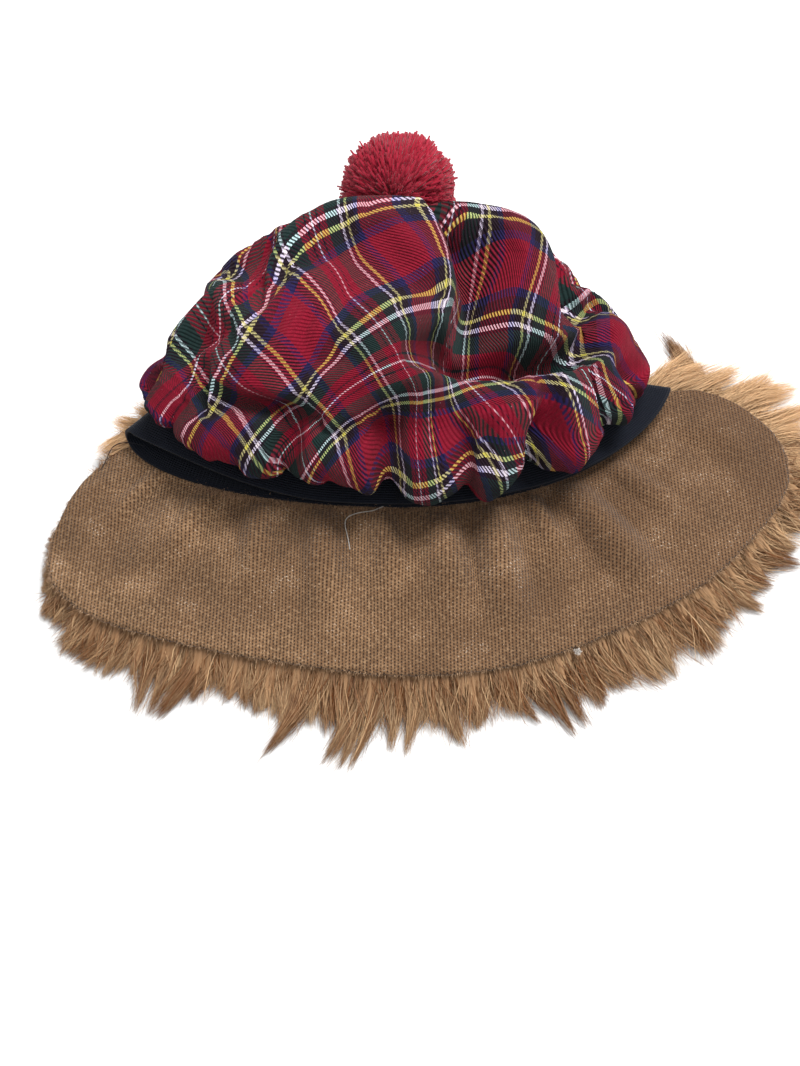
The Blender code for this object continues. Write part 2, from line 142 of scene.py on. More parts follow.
# share, heading, reach
FLAP_OUTLINE = (
    (-1.00, -58, 0.175),
    (-0.95, -45, 0.520),
    (-0.87, -38, 0.760),
    (-0.75, -33, 0.905),
    (-0.60, -27, 0.955),
    (-0.40, -20, 0.957),
    (-0.20, -10, 0.965),
    (0.00, 0, 1.000),
    (0.20, 9, 0.995),
    (0.40, 20, 0.951),
    (0.60, 33, 0.924),
    (0.75, 45, 0.895),
    (0.87, 60, 0.865),
    (0.95, 72, 0.715),
    (1.00, 92, 0.280),
)
RIPPLE_WAVES = (
    (0.30, 21.0, 0.7),
    (0.20, 34.0, 2.0),
)
LOCK_ENVELOPE = (
    (0.00, 0.60),
    (0.05, 0.25),
    (0.14, 0.25),
    (0.21, 0.80),
    (0.30, 0.95),
    (0.48, 1.00),
    (0.62, 0.90),
    (0.72, 1.00),
    (0.82, 0.75),
    (0.92, 0.55),
    (1.00, 0.95),
)

# Sizes of the crown's looks
CROWN_FINER = 3
CROWN_SMOOTHER = 2
LOWEST_CLOTH = 0.0004
DISC_RADIUS = 0.190
THREAD = 0.00051
TWILL = 4.0
THREADS_ADDED = 3600.0
HALF_SETT = 90
TARTAN_PHASE = (0.0, 132.0)
MARK_SLACK = 900.0
NAP = 0.07
PALE_TINGE = 0.55
LOCAL_ROWS = 0.36
THREAD_SHADES = (0.80, 0.34)
FUZZ_SHARE = 0.07
FUZZ_COLOUR = (0.26, 0.07, 0.09)
LINT_SHARE = 0.35
LINT_COLOUR = (0.45, 0.28, 0.30)
FLANNEL_BUMPS = 0.00030
EVEN_AROUND = 20
EVEN_ALONG = 40

# Pleats at the seam: height, pleats round it, and how they sway: size, waves, start
PLEATS_AT = 0.10
PLEATS_LONG = 0.09
PLEATS = (
    (0.0010, 41, 2.0, 5, math.pi / 2),
    (0.0006, 67, 1.3, 0, 0),
    (0.0005, 23, 3.0, 3, 0),
)
# Soft lumps: height, size, seed
CROWN_LUMPS = (
    (0.0022, 0.030, 3.1),
    (0.0008, 0.011, 9.7),
)

# The solid's bulges over the band, moved and deepened as the cloth hangs: turn, wide, raise, along
CLOTH_GATHERS = (
    (-84, 9, 0.40, 0.15),
    (-66, 13, 0.60, 0.17),
    (-48, 10, 0.55, 0.17),
    (-38, 7, 0.35, 0.15),
    (-29, 9, 0.70, 0.15),
    (-17, 7, 0.50, 0.15),
    (-7, 8, 0.80, 0.14),
    (5, 9, 1.35, 0.13),
    (18, 11, 1.20, 0.14),
    (39, 17, 0.90, 0.16),
    (60, 10, 0.60, 0.17),
    (76, 10, 0.50, 0.18),
)

# Folds that only the cloth shows: turn, along, wide, long, raise, lean
FINE_FOLDS = (
    (0, 0.14, 95, 0.12, 0.55, 0.0),
    (11, 0.20, 4, 0.12, -0.55, 0.25),
    (28, 0.18, 4, 0.13, -0.70, -0.20),
    (-23, 0.20, 4, 0.12, -0.45, 0.0),
    (-48, 0.30, 4, 0.10, -0.35, 0.0),
    (-20, 0.20, 3, 0.10, -0.40, 0.0),
    (16, 0.20, 3, 0.10, -0.45, 0.0),
    (66, 0.24, 4, 0.12, -0.40, 0.0),
    (-75, 0.30, 4, 0.14, -0.40, 0.0),
)

# The cloth simulation's steps and settings. Negative shrinking is growth.
SETTLING_FRAMES = 26
SETTLING = {
    "quality": 6,
    "mass": 0.12,
    "tension_stiffness": 12,
    "compression_stiffness": 12,
    "shear_stiffness": 4,
    "bending_stiffness": 1.2,
    "tension_damping": 8,
    "compression_damping": 8,
    "shear_damping": 8,
    "air_damping": 4,
    "pin_stiffness": 1.0,
    "shrink_min": -0.09,
}
# How hard the cloth is held in place while it settles, along the way from the seam to the apex
SETTLING_HOLD = (
    (0.00, 1.00),
    (0.08, 0.30),
    (0.18, 0.05),
    (0.40, 0.04),
    (0.75, 0.04),
    (0.92, 0.12),
    (1.00, 0.60),
)

# How the cloth creeps in its folds: a place by plain measure, and the tartan's place there, both
# counted in threads from the middle of the disc
CLOTH_MARKS = (
    # plain across, plain along, across, along
    (-107, -128, -136, -88),
    (-36, -108, -44, -88),
    (-152, -202, -224, -88),
    (-34, -238, -136, -176),
    (-11, -202, -44, -176),
    (-90, -275, -224, -176),
    (-211, -229, -316, -88),
    (-9, -289, -136, -268),
    (41, -284, 44, -268),
    (50, -102, 136, -88),
    (1, -103, 44, -88),
    (97, -197, 224, -176),
    (226, -153, 316, -176),
    (36, -331, -44, -356),
    (105, -310, 44, -356),
    (-164, -282, -316, -176),
    (-61, -302, -224, -268),
    (9, -216, 78, -178),
    (35, -93, 90, -106),
    (40, -206, 92, -194),
    (55, -160, 136, -156),
    (17, -287, -103, -268),
    (31, -286, 35, -268),
    (95, -145, 224, -108),
    (0, 0, 0, 0),
    (-360, 120, -360, 120),
    (360, 120, 360, 120),
    (0, 370, 0, 370),
)

# One half of the tartan's repeat, from the middle of the broad red to the pale line it turns on
RED = (0.205, 0.005, 0.019)
BLUE = (0.008, 0.011, 0.060)
BLACK = (0.007, 0.006, 0.011)
YELLOW = (0.56, 0.50, 0.09)
WHITE = (0.72, 0.64, 0.70)
GREEN = (0.003, 0.024, 0.022)
SETT = (
    (20, RED), (7, BLUE), (10, BLACK), (4, YELLOW), (6, BLACK), (4, WHITE),
    (3, BLACK), (17, GREEN), (10, RED), (2, BLACK), (6, RED), (1, WHITE),
)

# Sizes of the headband's looks
BAND_FINER = 4
BAND_LINES = 13
BAND_WAVE = 0.0004
BAND_WAVE_LONG = 0.020
RIB_PITCH = 0.0011
TICK_PITCH = 0.0009
ELASTIC_BUMPS = 0.00025
ELASTIC_DARK = (0.0014, 0.0020, 0.0048)
ELASTIC_LIGHT = (0.0056, 0.0082, 0.0165)

# Sizes of the backing's looks
BACKING_COLUMNS = 301
BACKING_ROWS = 41
STITCH = 0.00150
STITCHES_ADDED = 4000.0
FLAP_HELD = 0.010
KNIT_LOOSE = 0.030
KNIT_SINK = 0.0002
KNIT_BUMPS = 0.0005
KNIT_SHADOW = (0.060, 0.028, 0.013)
KNIT_FLUFF = (0.50, 0.32, 0.18)
# colour of the painted shade at the backing's right end
KNIT_RIGHT_SHADE = (0.092, 0.044, 0.021)
KNIT_PATCH = (0.085, 0.042, 0.019)
KNIT_HOLE = (0.022, 0.010, 0.005)
KNIT_SPECK = (0.60, 0.50, 0.40)
# The cut edge's fraying: height, waves along it, and how they sway: size, waves
EDGE_FRAY = (
    (0.0003, 190, 3, 47),
    (0.0001, 530, 0, 0),
)
# Soft lumps: height, size, seed
KNIT_LUMPS = (
    (0.0005, 0.018, 2.0),
    (0.0002, 0.006, 7.0),
)
# The knit's colour from darker to lighter, in broad random lumps: share, colour
KNIT_TONE_RAMP = (
    (0.30, (0.085, 0.043, 0.018)),
    (0.52, (0.180, 0.092, 0.041)),
    (0.70, (0.310, 0.176, 0.090)),
)
# Folds of the backing that run out from the band: share, half width, reach, rise, slant
KNIT_FOLDS = (
    (-0.72, 0.050, 0.050, 0.0018, -0.05),
    (-0.52, 0.055, 0.066, 0.0030, 0.04),
    (-0.36, 0.045, 0.066, 0.0040, 0.10),
    (-0.20, 0.060, 0.082, 0.0058, 0.10),
    (-0.05, 0.040, 0.060, 0.0032, 0.06),
    (0.09, 0.060, 0.078, 0.0060, 0.03),
    (0.23, 0.065, 0.088, 0.0088, -0.02),
    (0.335, 0.030, 0.050, 0.0034, 0.03),
    (0.44, 0.065, 0.088, 0.0085, 0.08),
    (0.60, 0.050, 0.060, 0.0030, 0.10),
    (0.76, 0.050, 0.050, 0.0012, 0.10),
)

# Sizes of the fur's and the fluff's looks
RIM_MEASURED = 400
RIM_STEPS = 600
BASE_STEPS = 721
LOCK_POINTS = 6
TUFT_POINTS = 6
FLUFF_POINTS = 5
LINT_FIBRES = 90
LINT_POINTS = 6
FIBRE_WIDTHS = (0.00018, 0.00040)
WISP_WIDTHS = (0.00017, 0.00036)
LINT_WIDTH = 0.00022
LOWEST_FIBRE = 0.0002
RIBBON_TAPER = 2.2
RIBBON_TIP = 0.1
ROOT_INSET = 0.009
LOOSE_SHARE = 0.14
LOOSE_REACHES = (0.5, 1.22)
LOOSE_SPREAD = 0.0045
LOCK_REACHES = (0.74, 1.02)
TIP_HEIGHTS = (0.0006, 0.0050)
WISP_SPREAD = 0.0016
WISP_CURL = 0.0012
# colour of the painted shade in the fur, at the roots and under the backing's edge
FUR_SHADOW_COLOUR = np.array([0.070, 0.031, 0.012])
FUR_MIDDLE = np.array([0.335, 0.160, 0.068])
FUR_LIGHT = np.array([0.800, 0.525, 0.285])

# Fur locks: name, locks, fibres each, seed, reach, half width, lowest and highest root
FUR_LAYERS = (
    ("fur_long_locks", 44, 320, 21, 1.22, 0.0085, 0.001, 0.008),
    ("fur_middle_locks", 66, 210, 24, 0.86, 0.0065, 0.003, 0.0100),
    ("fur_top_locks", 104, 120, 22, 0.62, 0.0052, 0.006, 0.0112),
    ("fur_stray_fibres", 230, 12, 23, 1.05, 0.0100, 0.003, 0.0112),
)
# Wisps beyond the backing: root, tip, half width, fibres
TUFTS = (
    (0.1170, 0.0600, 0.011, 0.1430, 0.0900, 0.012, 0.0050, 210),
    (0.1180, 0.0620, 0.011, 0.1340, 0.0830, 0.010, 0.0065, 340),
    (0.1240, 0.0640, 0.010, 0.1520, 0.0830, 0.010, 0.0070, 500),
    (0.1360, 0.0640, 0.009, 0.1690, 0.0830, 0.008, 0.0075, 560),
    (0.1480, 0.0610, 0.008, 0.1840, 0.0800, 0.006, 0.0080, 610),
    (0.1580, 0.0560, 0.007, 0.1960, 0.0735, 0.004, 0.0080, 610),
    (0.1660, 0.0480, 0.007, 0.2010, 0.0610, 0.006, 0.0080, 560),
    (0.1700, 0.0390, 0.007, 0.1990, 0.0470, 0.006, 0.0080, 500),
    (0.1720, 0.0280, 0.006, 0.1980, 0.0330, 0.005, 0.0080, 450),
    (-0.1220, 0.0400, 0.011, -0.1430, 0.0330, 0.009, 0.0065, 450),
    (-0.1180, 0.0450, 0.012, -0.1370, 0.0490, 0.012, 0.0060, 420),
    (-0.1140, 0.0480, 0.012, -0.1270, 0.0560, 0.013, 0.0050, 340),
)
TUFT_BOW = (0.10, -0.08, 0.16, 0.04, -0.14)

# Loose threads: name, radius, colour and route
PALE_THREAD = (0.52, 0.48, 0.44)
LOOSE_THREADS = (
    ("thread_white", 0.00022, PALE_THREAD, (
        (-0.0060, 0.0010, 0.0150),
        (-0.0100, -0.0010, 0.0150),
        (-0.0128, -0.0022, 0.0148),
        (-0.0190, -0.0030, 0.0150),
        (-0.0246, -0.0054, 0.0148),
        (-0.0252, -0.0095, 0.0147),
        (-0.0236, -0.0150, 0.0147),
        (-0.0225, -0.0218, 0.0145),
    )),
    ("thread_black", 0.00018, (0.012, 0.012, 0.016), (
        (-0.1190, 0.0300, 0.0190),
        (-0.1234, 0.0310, 0.0205),
        (-0.1310, 0.0325, 0.0185),
        (-0.1356, 0.0311, 0.0160),
        (-0.1379, 0.0229, 0.0148),
        (-0.1400, 0.0190, 0.0146),
        (-0.1419, 0.0170, 0.0144),
    )),
)
LINT = (0.0768, -0.0708, 0.0135)
LINT_RADIUS = 0.0006
LINT_CURL = 0.0007

# Fluff along the backing's two edges: where, how far in, how high, and the looks of its fibres
FLUFF = {
    "seam_fluff": {
        "fibres": 2200,
        "span": (-0.62, 0.42),
        "sink": (-0.0010, 0.0020),
        "height": PILE_DEPTH + KNIT + 0.0006,
        "long": (0.0010, 0.0042),
        "stray": 0.0010,
        "rise": 0.0007,
        "curl": 0.0008,
        "lowest": PILE_DEPTH + KNIT + 0.0004,
        "colour": (0.36, 0.22, 0.13),
        "shades": (0.6, 1.3),
        "widths": (0.00012, 0.00026),
    },
    "rim_fluff": {
        "fibres": 2200,
        "span": (0.01, 0.99),
        "sink": 0.0006,
        "height": (0.3, 1.1),
        "long": (0.0004, 0.0020),
        "stray": 0.0006,
        "rise": 0.0,
        "curl": 0.0004,
        "lowest": 0.0,
        "colour": (0.42, 0.27, 0.16),
        "shades": (0.7, 1.3),
        "widths": (0.00012, 0.00024),
    },
}

# How far the fur sweeps along the rim: share of the rim, sweep
FUR_SWEEP = (
    (0.00, -0.25),
    (0.25, -0.20),
    (0.45, 0.05),
    (0.65, 0.25),
    (0.85, 0.35),
    (1.00, 0.50),
)

# Sizes of the pompom's looks
POMPOM_LOOKS_RADIUS = POMPOM_RADIUS * 0.95
POMPOM_KNOT = (-0.10, -0.72, 0.50)
POMPOM_KNOT_DEPTH = 0.42
POMPOM_SWEEP = 0.62
POMPOM_CORE = 0.87
STRANDS = 4200
STRAND_START = 0.30
STRAND_SIDES = 4
STRAND_REACHES = (0.93, 0.985)
STRAND_STRAY = 0.045
STRAND_BEND = 0.030
STRAND_BULGE = 0.10
POMPOM_LUMPS = 0.09
LOWEST_YARN = 0.0003
STRAND_RADII = (0.00039, 0.000663, 0.000858, 0.000585)
FRAYED_FIBRES = 26000
FRAYED_POINTS = 3
FRAYED_WIDTHS = (0.00020, 0.00044)
FRAYED_LENGTHS = (0.0030, 0.0062)
FRAYED_STRAY = 0.30
FRAYED_INSIDE = (0.95, 1.03)
CORE_RINGS = 16
CORE_SPOKES = 24
# dark red of the painted shade deep inside the pompom
YARN_SHADE = np.array([0.200, 0.0045, 0.017])
YARN_RED = np.array([0.31, 0.004, 0.020])
YARN_LIT = np.array([0.41, 0.010, 0.036])

# The room and the camera. The camera is set by its angle above the floor and its distance.
FLOOR_HALF = 4
FLOOR_COLOUR = (0.90, 0.90, 0.90)
WORLD_LIGHT = 0.34
LIT_MIDDLE = (0, 0.04, 0.02)
# Lamps: name, place, size, power
LAMPS = (
    ("key", (0.34, 0.36, 1.08), 0.5, 18.0),
    ("fill", (-0.70, 0.10, 0.90), 0.8, 2.6),
    ("front", (0.42, -0.76, 0.96), 1.0, 4.4),
)
CAMERA_TILT = math.radians(62)
CAMERA_TARGET = (0.0, -0.011, 0.010)
CAMERA_DISTANCE = 0.55
SENSOR = 36
LENS_PIXELS = 1203
PHOTO_HEIGHT_PIXELS = 1066


# Helpers shared with the solids
def unit(vectors):
    """Vectors scaled to length 1, along the last axis."""
    return vectors / np.maximum(np.linalg.norm(vectors, axis=-1, keepdims=True), 1e-12)


def smooth_column(shares, columns, at):
    """Columns of a table at the shares asked for, on a smooth curve through its rows."""
    shares = np.asarray(shares, float)
    columns = np.asarray(columns, float)
    slopes = np.gradient(columns, shares, axis=0) * CURVE_EASE
    at = np.atleast_1d(np.asarray(at, float))
    row = np.clip(np.searchsorted(shares, at, side="right") - 1, 0, len(shares) - 2)
    step = shares[row + 1] - shares[row]
    part = ((at - shares[row]) / step)[:, None]
    step = step[:, None]
    near, far = columns[row], columns[row + 1]
    rise, fall = slopes[row] * step, slopes[row + 1] * step
    return ((2 * part ** 3 - 3 * part ** 2 + 1) * near + (part ** 3 - 2 * part ** 2 + part) * rise
            + (3 * part ** 2 - 2 * part ** 3) * far + (part ** 3 - part ** 2) * fall)


def bump(distance):
    """A smooth hill: 1 at distance 0, and 0 from distance 1 outwards."""
    near = np.clip(np.abs(distance), 0, 1)
    return (1 - near ** 2) ** 2


def edge_in_plan(share, end_turn):
    """Points of the band's free edge, their tangents and inward directions, seen from above."""
    turn = np.asarray(share, float) * end_turn
    half = BAND_HALF_SPAN / math.sin(BAND_END_TURN)
    rise = np.where(turn < 0, BAND_RISE_LEFT, BAND_RISE_RIGHT) / (1 - math.cos(BAND_END_TURN))
    points = np.stack([half * np.sin(turn), rise * (1 - np.cos(turn))], axis=-1)
    tangent = unit(np.stack([half * np.cos(turn), rise * np.sin(turn)], axis=-1))
    fan = turn * np.where(turn < 0, 1, BAND_FAN_RIGHT)
    inward = unit(np.stack([-rise * np.sin(fan), half * np.cos(fan)], axis=-1))
    return points, tangent, inward


def back_layer_height():
    """Middle height of the band's back layer, which lies on the flap."""
    return PILE_DEPTH + CLEARANCE + KNIT + CLEARANCE + ELASTIC / 2


def station_turns(stations):
    """Turns of the points on a closed line, in degrees, closer together at the front."""
    even = np.linspace(0, 2 * math.pi, stations, endpoint=False)
    return np.degrees(even - FRONT_CROWDING * np.sin(even))


def band_ring(turns, front_across, front_out, back_across, back_out):
    """One closed line of the band, from the front middle to the right and round."""
    turns = np.where(turns > 180, turns - 360, turns)
    side = np.sign(turns)
    past_corner = np.clip((np.abs(turns) - 90) / CORNER_DEGREES, -1, 1)
    run = np.where(past_corner < 0, np.abs(turns), 180 - np.abs(turns))
    share = side * np.clip(run / (90 - CORNER_DEGREES), 0, 1)
    points, tangent, inward = edge_in_plan(share, BAND_END_TURN)
    layer = np.cos((past_corner + 1) * math.pi / 2)
    past_end = np.sin((past_corner + 1) * math.pi / 2)
    front = (1 + layer) / 2
    across = back_across + (front_across - back_across) * front
    out = back_out + (front_out - back_out) * front
    lens = bump((share - BAND_LENS_AT) / BAND_LENS_HALF)
    half_gape = (BAND_GAPE + BAND_LENS * lens) / 2
    lead = BAND_RECESS * lens - BAND_LEAD
    plan = points + inward * (across + lead * front)[:, None]
    plan = plan + tangent * (side * past_end * (half_gape + out))[:, None]
    height = back_layer_height() + half_gape + layer * (half_gape + out)
    height = height + BAND_TILT * front * across / BAND_WIDTH
    return np.column_stack([plan, height])


def crown_section(front, left, right, back, fullness):
    """A closed line of the crown. front and back are y and z; left and right are x, y and z."""
    turns = np.radians(station_turns(COARSE_STATIONS))
    toward = np.cos(turns)[:, None]
    aside = np.sin(turns)[:, None]
    side = np.where(aside > 0, right, left)
    end = np.where(toward > 0, front, back)
    across = np.abs(aside) ** fullness * side[:, :1]
    return np.hstack([across, side[:, 1:] + (end - side[:, 1:]) * np.abs(toward) ** fullness])


def crown_rows():
    """Closed lines of the crown's outer face, from its seam on the band to its apex."""
    on_band = ELASTIC / 2 + CLEARANCE + FLANNEL
    turns = station_turns(COARSE_STATIONS)
    sections = []
    shares = []
    for along, *columns in MOUTH_SECTIONS:
        front_across, front_out, back_across, back_out = np.array(columns) * BAND_WIDTH
        sections.append(band_ring(turns, front_across, on_band + front_out, back_across,
                                  on_band + back_out))
        shares.append(along)
    size = np.array([CROWN_HALF_WIDTH, CROWN_LENGTH, CROWN_HEIGHT])
    for along, *columns, fullness in CROWN_SECTIONS:
        front_y, front_z, left_x, left_y, right_x, right_y, side_z, back_y, back_z = columns
        sections.append(crown_section(
            size[1:] * (front_y, front_z), size * (-left_x, left_y, side_z),
            size * (right_x, right_y, side_z), size[1:] * (back_y, back_z), fullness))
        shares.append(along)
    rows = np.linspace(0, 1, COARSE_ROWS + 1) ** SEAM_CROWDING
    flat = np.array(sections).reshape(len(sections), -1)
    return rows, smooth_column(shares, flat, rows).reshape(len(rows), COARSE_STATIONS, 3)


def outward_of(grid):
    """Outward directions on a grid of closed rows."""
    around = np.roll(grid, -1, axis=1) - np.roll(grid, 1, axis=1)
    along = np.gradient(grid, axis=0)
    normal = unit(np.cross(around, along))
    centre = grid.mean(axis=(0, 1))
    if np.sum(normal * (grid - centre)) < 0:
        normal = -normal
    return normal


def turn_apart(turns, middle):
    """Degrees from a turn, the short way round."""
    return (turns - middle + 180) % 360 - 180


def eased(grid, free):
    """Closed rows moved towards their neighbours, each by its free share from 0 to 1."""
    around = (np.roll(grid, -1, axis=1) + np.roll(grid, 1, axis=1))[1:-1]
    along = grid[2:] + grid[:-2]
    middle = grid[1:-1]
    shift = (around + along) / 4 - middle
    return np.concatenate([grid[:1], middle + shift * free[1:-1, None, None], grid[-1:]])


def flap_lines(shares):
    """Sewn points of the flap, and its outer points, seen from above."""
    points, _, inward = edge_in_plan(shares, FLAP_END_TURN)
    sewn = points + inward * FLAP_LAP
    table = np.array(FLAP_OUTLINE)
    heading, reach = smooth_column(table[:, 0], table[:, 1:], shares).T
    heading = np.radians(heading)
    direction = np.stack([np.sin(heading), -np.cos(heading)], axis=-1)
    return sewn, sewn + direction * (reach * FLAP_DEPTH)[:, None]


# Helpers of the looks
BAND_TURNS = station_turns(COARSE_STATIONS * BAND_FINER)
band_outer = np.concatenate([band_ring(BAND_TURNS, across, ELASTIC / 2, across, ELASTIC / 2)
                             for across in np.linspace(0, BAND_WIDTH, 3)])
SHIFT = np.array([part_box("headband")[0].x - band_outer[:, 0].min(),
                  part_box("headband")[0].y - band_outer[:, 1].min(), 0.0])


def refined(grid, times, closed):
    """A grid made finer along its first axis, on smooth curves through its points."""
    count = len(grid)
    at = np.arange(count * times if closed else (count - 1) * times + 1) / times
    low = np.floor(at).astype(int)
    if not closed:
        low = np.minimum(low, count - 2)
    part = (at - low).reshape(-1, *([1] * (grid.ndim - 1)))

    def pick(step):
        return grid[(low + step) % count] if closed else grid[np.clip(low + step, 0, count - 1)]

    before, near, far, after = pick(-1), pick(0), pick(1), pick(2)
    return 0.5 * (2 * near + (far - before) * part
                  + (2 * before - 5 * near + 4 * far - after) * part ** 2
                  + (3 * near - before - 3 * far + after) * part ** 3)


def noise_at(points, size, seed):
    """Smooth noise from about -1 to 1 at each point, with lumps of about that size."""
    flat = points.reshape(-1, 3) / size + seed
    values = np.array([noise.noise(Vector(point)) for point in flat])
    return values.reshape(points.shape[:-1])


def mesh_object(name, points, faces, material, uvs=None, tints=None):
    """A new object of the hat, from points in the working frame. uvs and tints are per point."""
    mesh = bpy.data.meshes.new(name)
    points = np.asarray(points, float) + SHIFT
    mesh.from_pydata(points.tolist(), [], [list(map(int, face)) for face in faces])
    if uvs is not None:
        layer = mesh.uv_layers.new(name="cloth")
        loops = np.empty(len(mesh.loops), int)
        mesh.loops.foreach_get("vertex_index", loops)
        layer.data.foreach_set("uv", np.asarray(uvs, float)[loops].ravel())
    if tints is not None:
        layer = mesh.color_attributes.new(name="tint", type="FLOAT_COLOR", domain="POINT")
        colours = np.column_stack([tints, np.ones(len(tints))])
        layer.data.foreach_set("color", colours.ravel())
    mesh.polygons.foreach_set("use_smooth", [True] * len(mesh.polygons))
    mesh.materials.append(material)
    mesh.update()
    item = bpy.data.objects.new(name, mesh)
    bpy.context.scene.collection.objects.link(item)
    return item


def grid_faces(rows, columns, closed):
    """Quads of a grid of points, stored row by row."""
    around = columns if closed else columns - 1
    row, column = np.meshgrid(np.arange(rows - 1), np.arange(around), indexing="ij")
    after = (column + 1) % columns
    quads = np.stack([row * columns + column, row * columns + after,
                      (row + 1) * columns + after, (row + 1) * columns + column], axis=-1)
    return quads.reshape(-1, 4)


def with_wall(item, thickness, offset):
    """The same object with its cloth's thickness made real."""
    wall = item.modifiers.new("wall", "SOLIDIFY")
    wall.thickness = thickness
    wall.offset = offset
    wall.use_even_offset = False
    bpy.context.view_layer.update()
    depsgraph = bpy.context.evaluated_depsgraph_get()
    shown = item.evaluated_get(depsgraph)
    solid = bpy.data.meshes.new_from_object(shown, preserve_all_data_layers=True, depsgraph=depsgraph)
    item.modifiers.clear()
    item.data = solid
    return item


# Material helpers
class Shader:
    """A material under construction."""

    def __init__(self, name, roughness, specular=0.3, sheen=0.0, sheen_roughness=0.5):
        self.material = bpy.data.materials.new(name)
        self.material.use_nodes = True
        self.tree = self.material.node_tree
        self.surface = self.tree.nodes["Principled BSDF"]
        self.surface.inputs["Roughness"].default_value = roughness
        self.surface.inputs["Specular IOR Level"].default_value = specular
        self.surface.inputs["Sheen Weight"].default_value = sheen
        self.surface.inputs["Sheen Roughness"].default_value = sheen_roughness

    def add(self, kind, **settings):
        node = self.tree.nodes.new(kind)
        for key, value in settings.items():
            setattr(node, key, value)
        return node

    def link(self, value, socket):
        if isinstance(value, bpy.types.NodeSocket):
            self.tree.links.new(value, socket)
        else:
            socket.default_value = value

    def math(self, operation, first, second=0.0, third=0.0):
        node = self.add("ShaderNodeMath", operation=operation)
        for value, socket in zip((first, second, third), node.inputs):
            self.link(value, socket)
        return node.outputs[0]

    def plus(self, first, second):
        return self.math("ADD", first, second)

    def minus(self, first, second):
        return self.math("SUBTRACT", first, second)

    def times(self, first, second):
        return self.math("MULTIPLY", first, second)

    def scaled(self, value, slope, start):
        return self.math("MULTIPLY_ADD", value, slope, start)

    def above(self, value, level):
        return self.math("GREATER_THAN", value, level)

    def at_most(self, value, level):
        return self.math("MINIMUM", value, level)

    def past(self, value, level):
        """How far a value is past a level, and 0 below it."""
        return self.math("MAXIMUM", self.minus(value, level), 0.0)

    def wave(self, value, length):
        return self.math("SINE", self.times(value, 2 * math.pi / length))

    def choose(self, choice, other, value):
        """The second value where the choice is 1, and the first where it is 0."""
        return self.plus(self.times(choice, value), self.times(self.minus(1.0, choice), other))

    def grey(self, value):
        node = self.add("ShaderNodeCombineXYZ")
        for socket in node.inputs:
            self.link(value, socket)
        return node.outputs[0]

    def point_data(self, name, output):
        return self.add("ShaderNodeAttribute", attribute_name=name).outputs[output]

    def mix(self, factor, first, second, blend="MIX"):
        node = self.add("ShaderNodeMix", data_type="RGBA", blend_type=blend)
        self.link(factor, node.inputs["Factor"])
        colours = [socket for socket in node.inputs if socket.type == "RGBA"]
        for value, socket in zip((first, second), colours):
            self.link((*value, 1) if isinstance(value, tuple) and len(value) == 3 else value, socket)
        return [socket for socket in node.outputs if socket.type == "RGBA"][0]

    def ramp(self, factor, stops, interpolation="LINEAR"):
        node = self.add("ShaderNodeValToRGB")
        node.color_ramp.interpolation = interpolation
        elements = node.color_ramp.elements
        while len(elements) < len(stops):
            elements.new(0.5)
        for element, (place, colour) in zip(elements, stops):
            element.position = place
            element.color = (*colour, 1)
        self.link(factor, node.inputs["Fac"])
        return node.outputs["Color"]

    def noise(self, vector, scale, detail=2.0, roughness=0.5):
        node = self.add("ShaderNodeTexNoise")
        self.link(vector, node.inputs["Vector"])
        node.inputs["Scale"].default_value = scale
        node.inputs["Detail"].default_value = detail
        node.inputs["Roughness"].default_value = roughness
        return node.outputs["Fac"]

    def place(self):
        return self.add("ShaderNodeTexCoord").outputs["Object"]

    def cloth(self, layer="cloth"):
        node = self.add("ShaderNodeUVMap", uv_map=layer)
        split = self.add("ShaderNodeSeparateXYZ")
        self.link(node.outputs["UV"], split.inputs["Vector"])
        return node.outputs["UV"], split.outputs["X"], split.outputs["Y"]

    def twill(self, threads):
        """1 where the second thread lies over the first, two by two, a step further in each row."""
        return self.math("LESS_THAN", self.math("MODULO", self.plus(*threads), TWILL), 1.5)

    def bumps(self, height, distance, strength):
        node = self.add("ShaderNodeBump")
        node.inputs["Distance"].default_value = distance
        node.inputs["Strength"].default_value = strength
        self.link(height, node.inputs["Height"])
        self.link(node.outputs["Normal"], self.surface.inputs["Normal"])


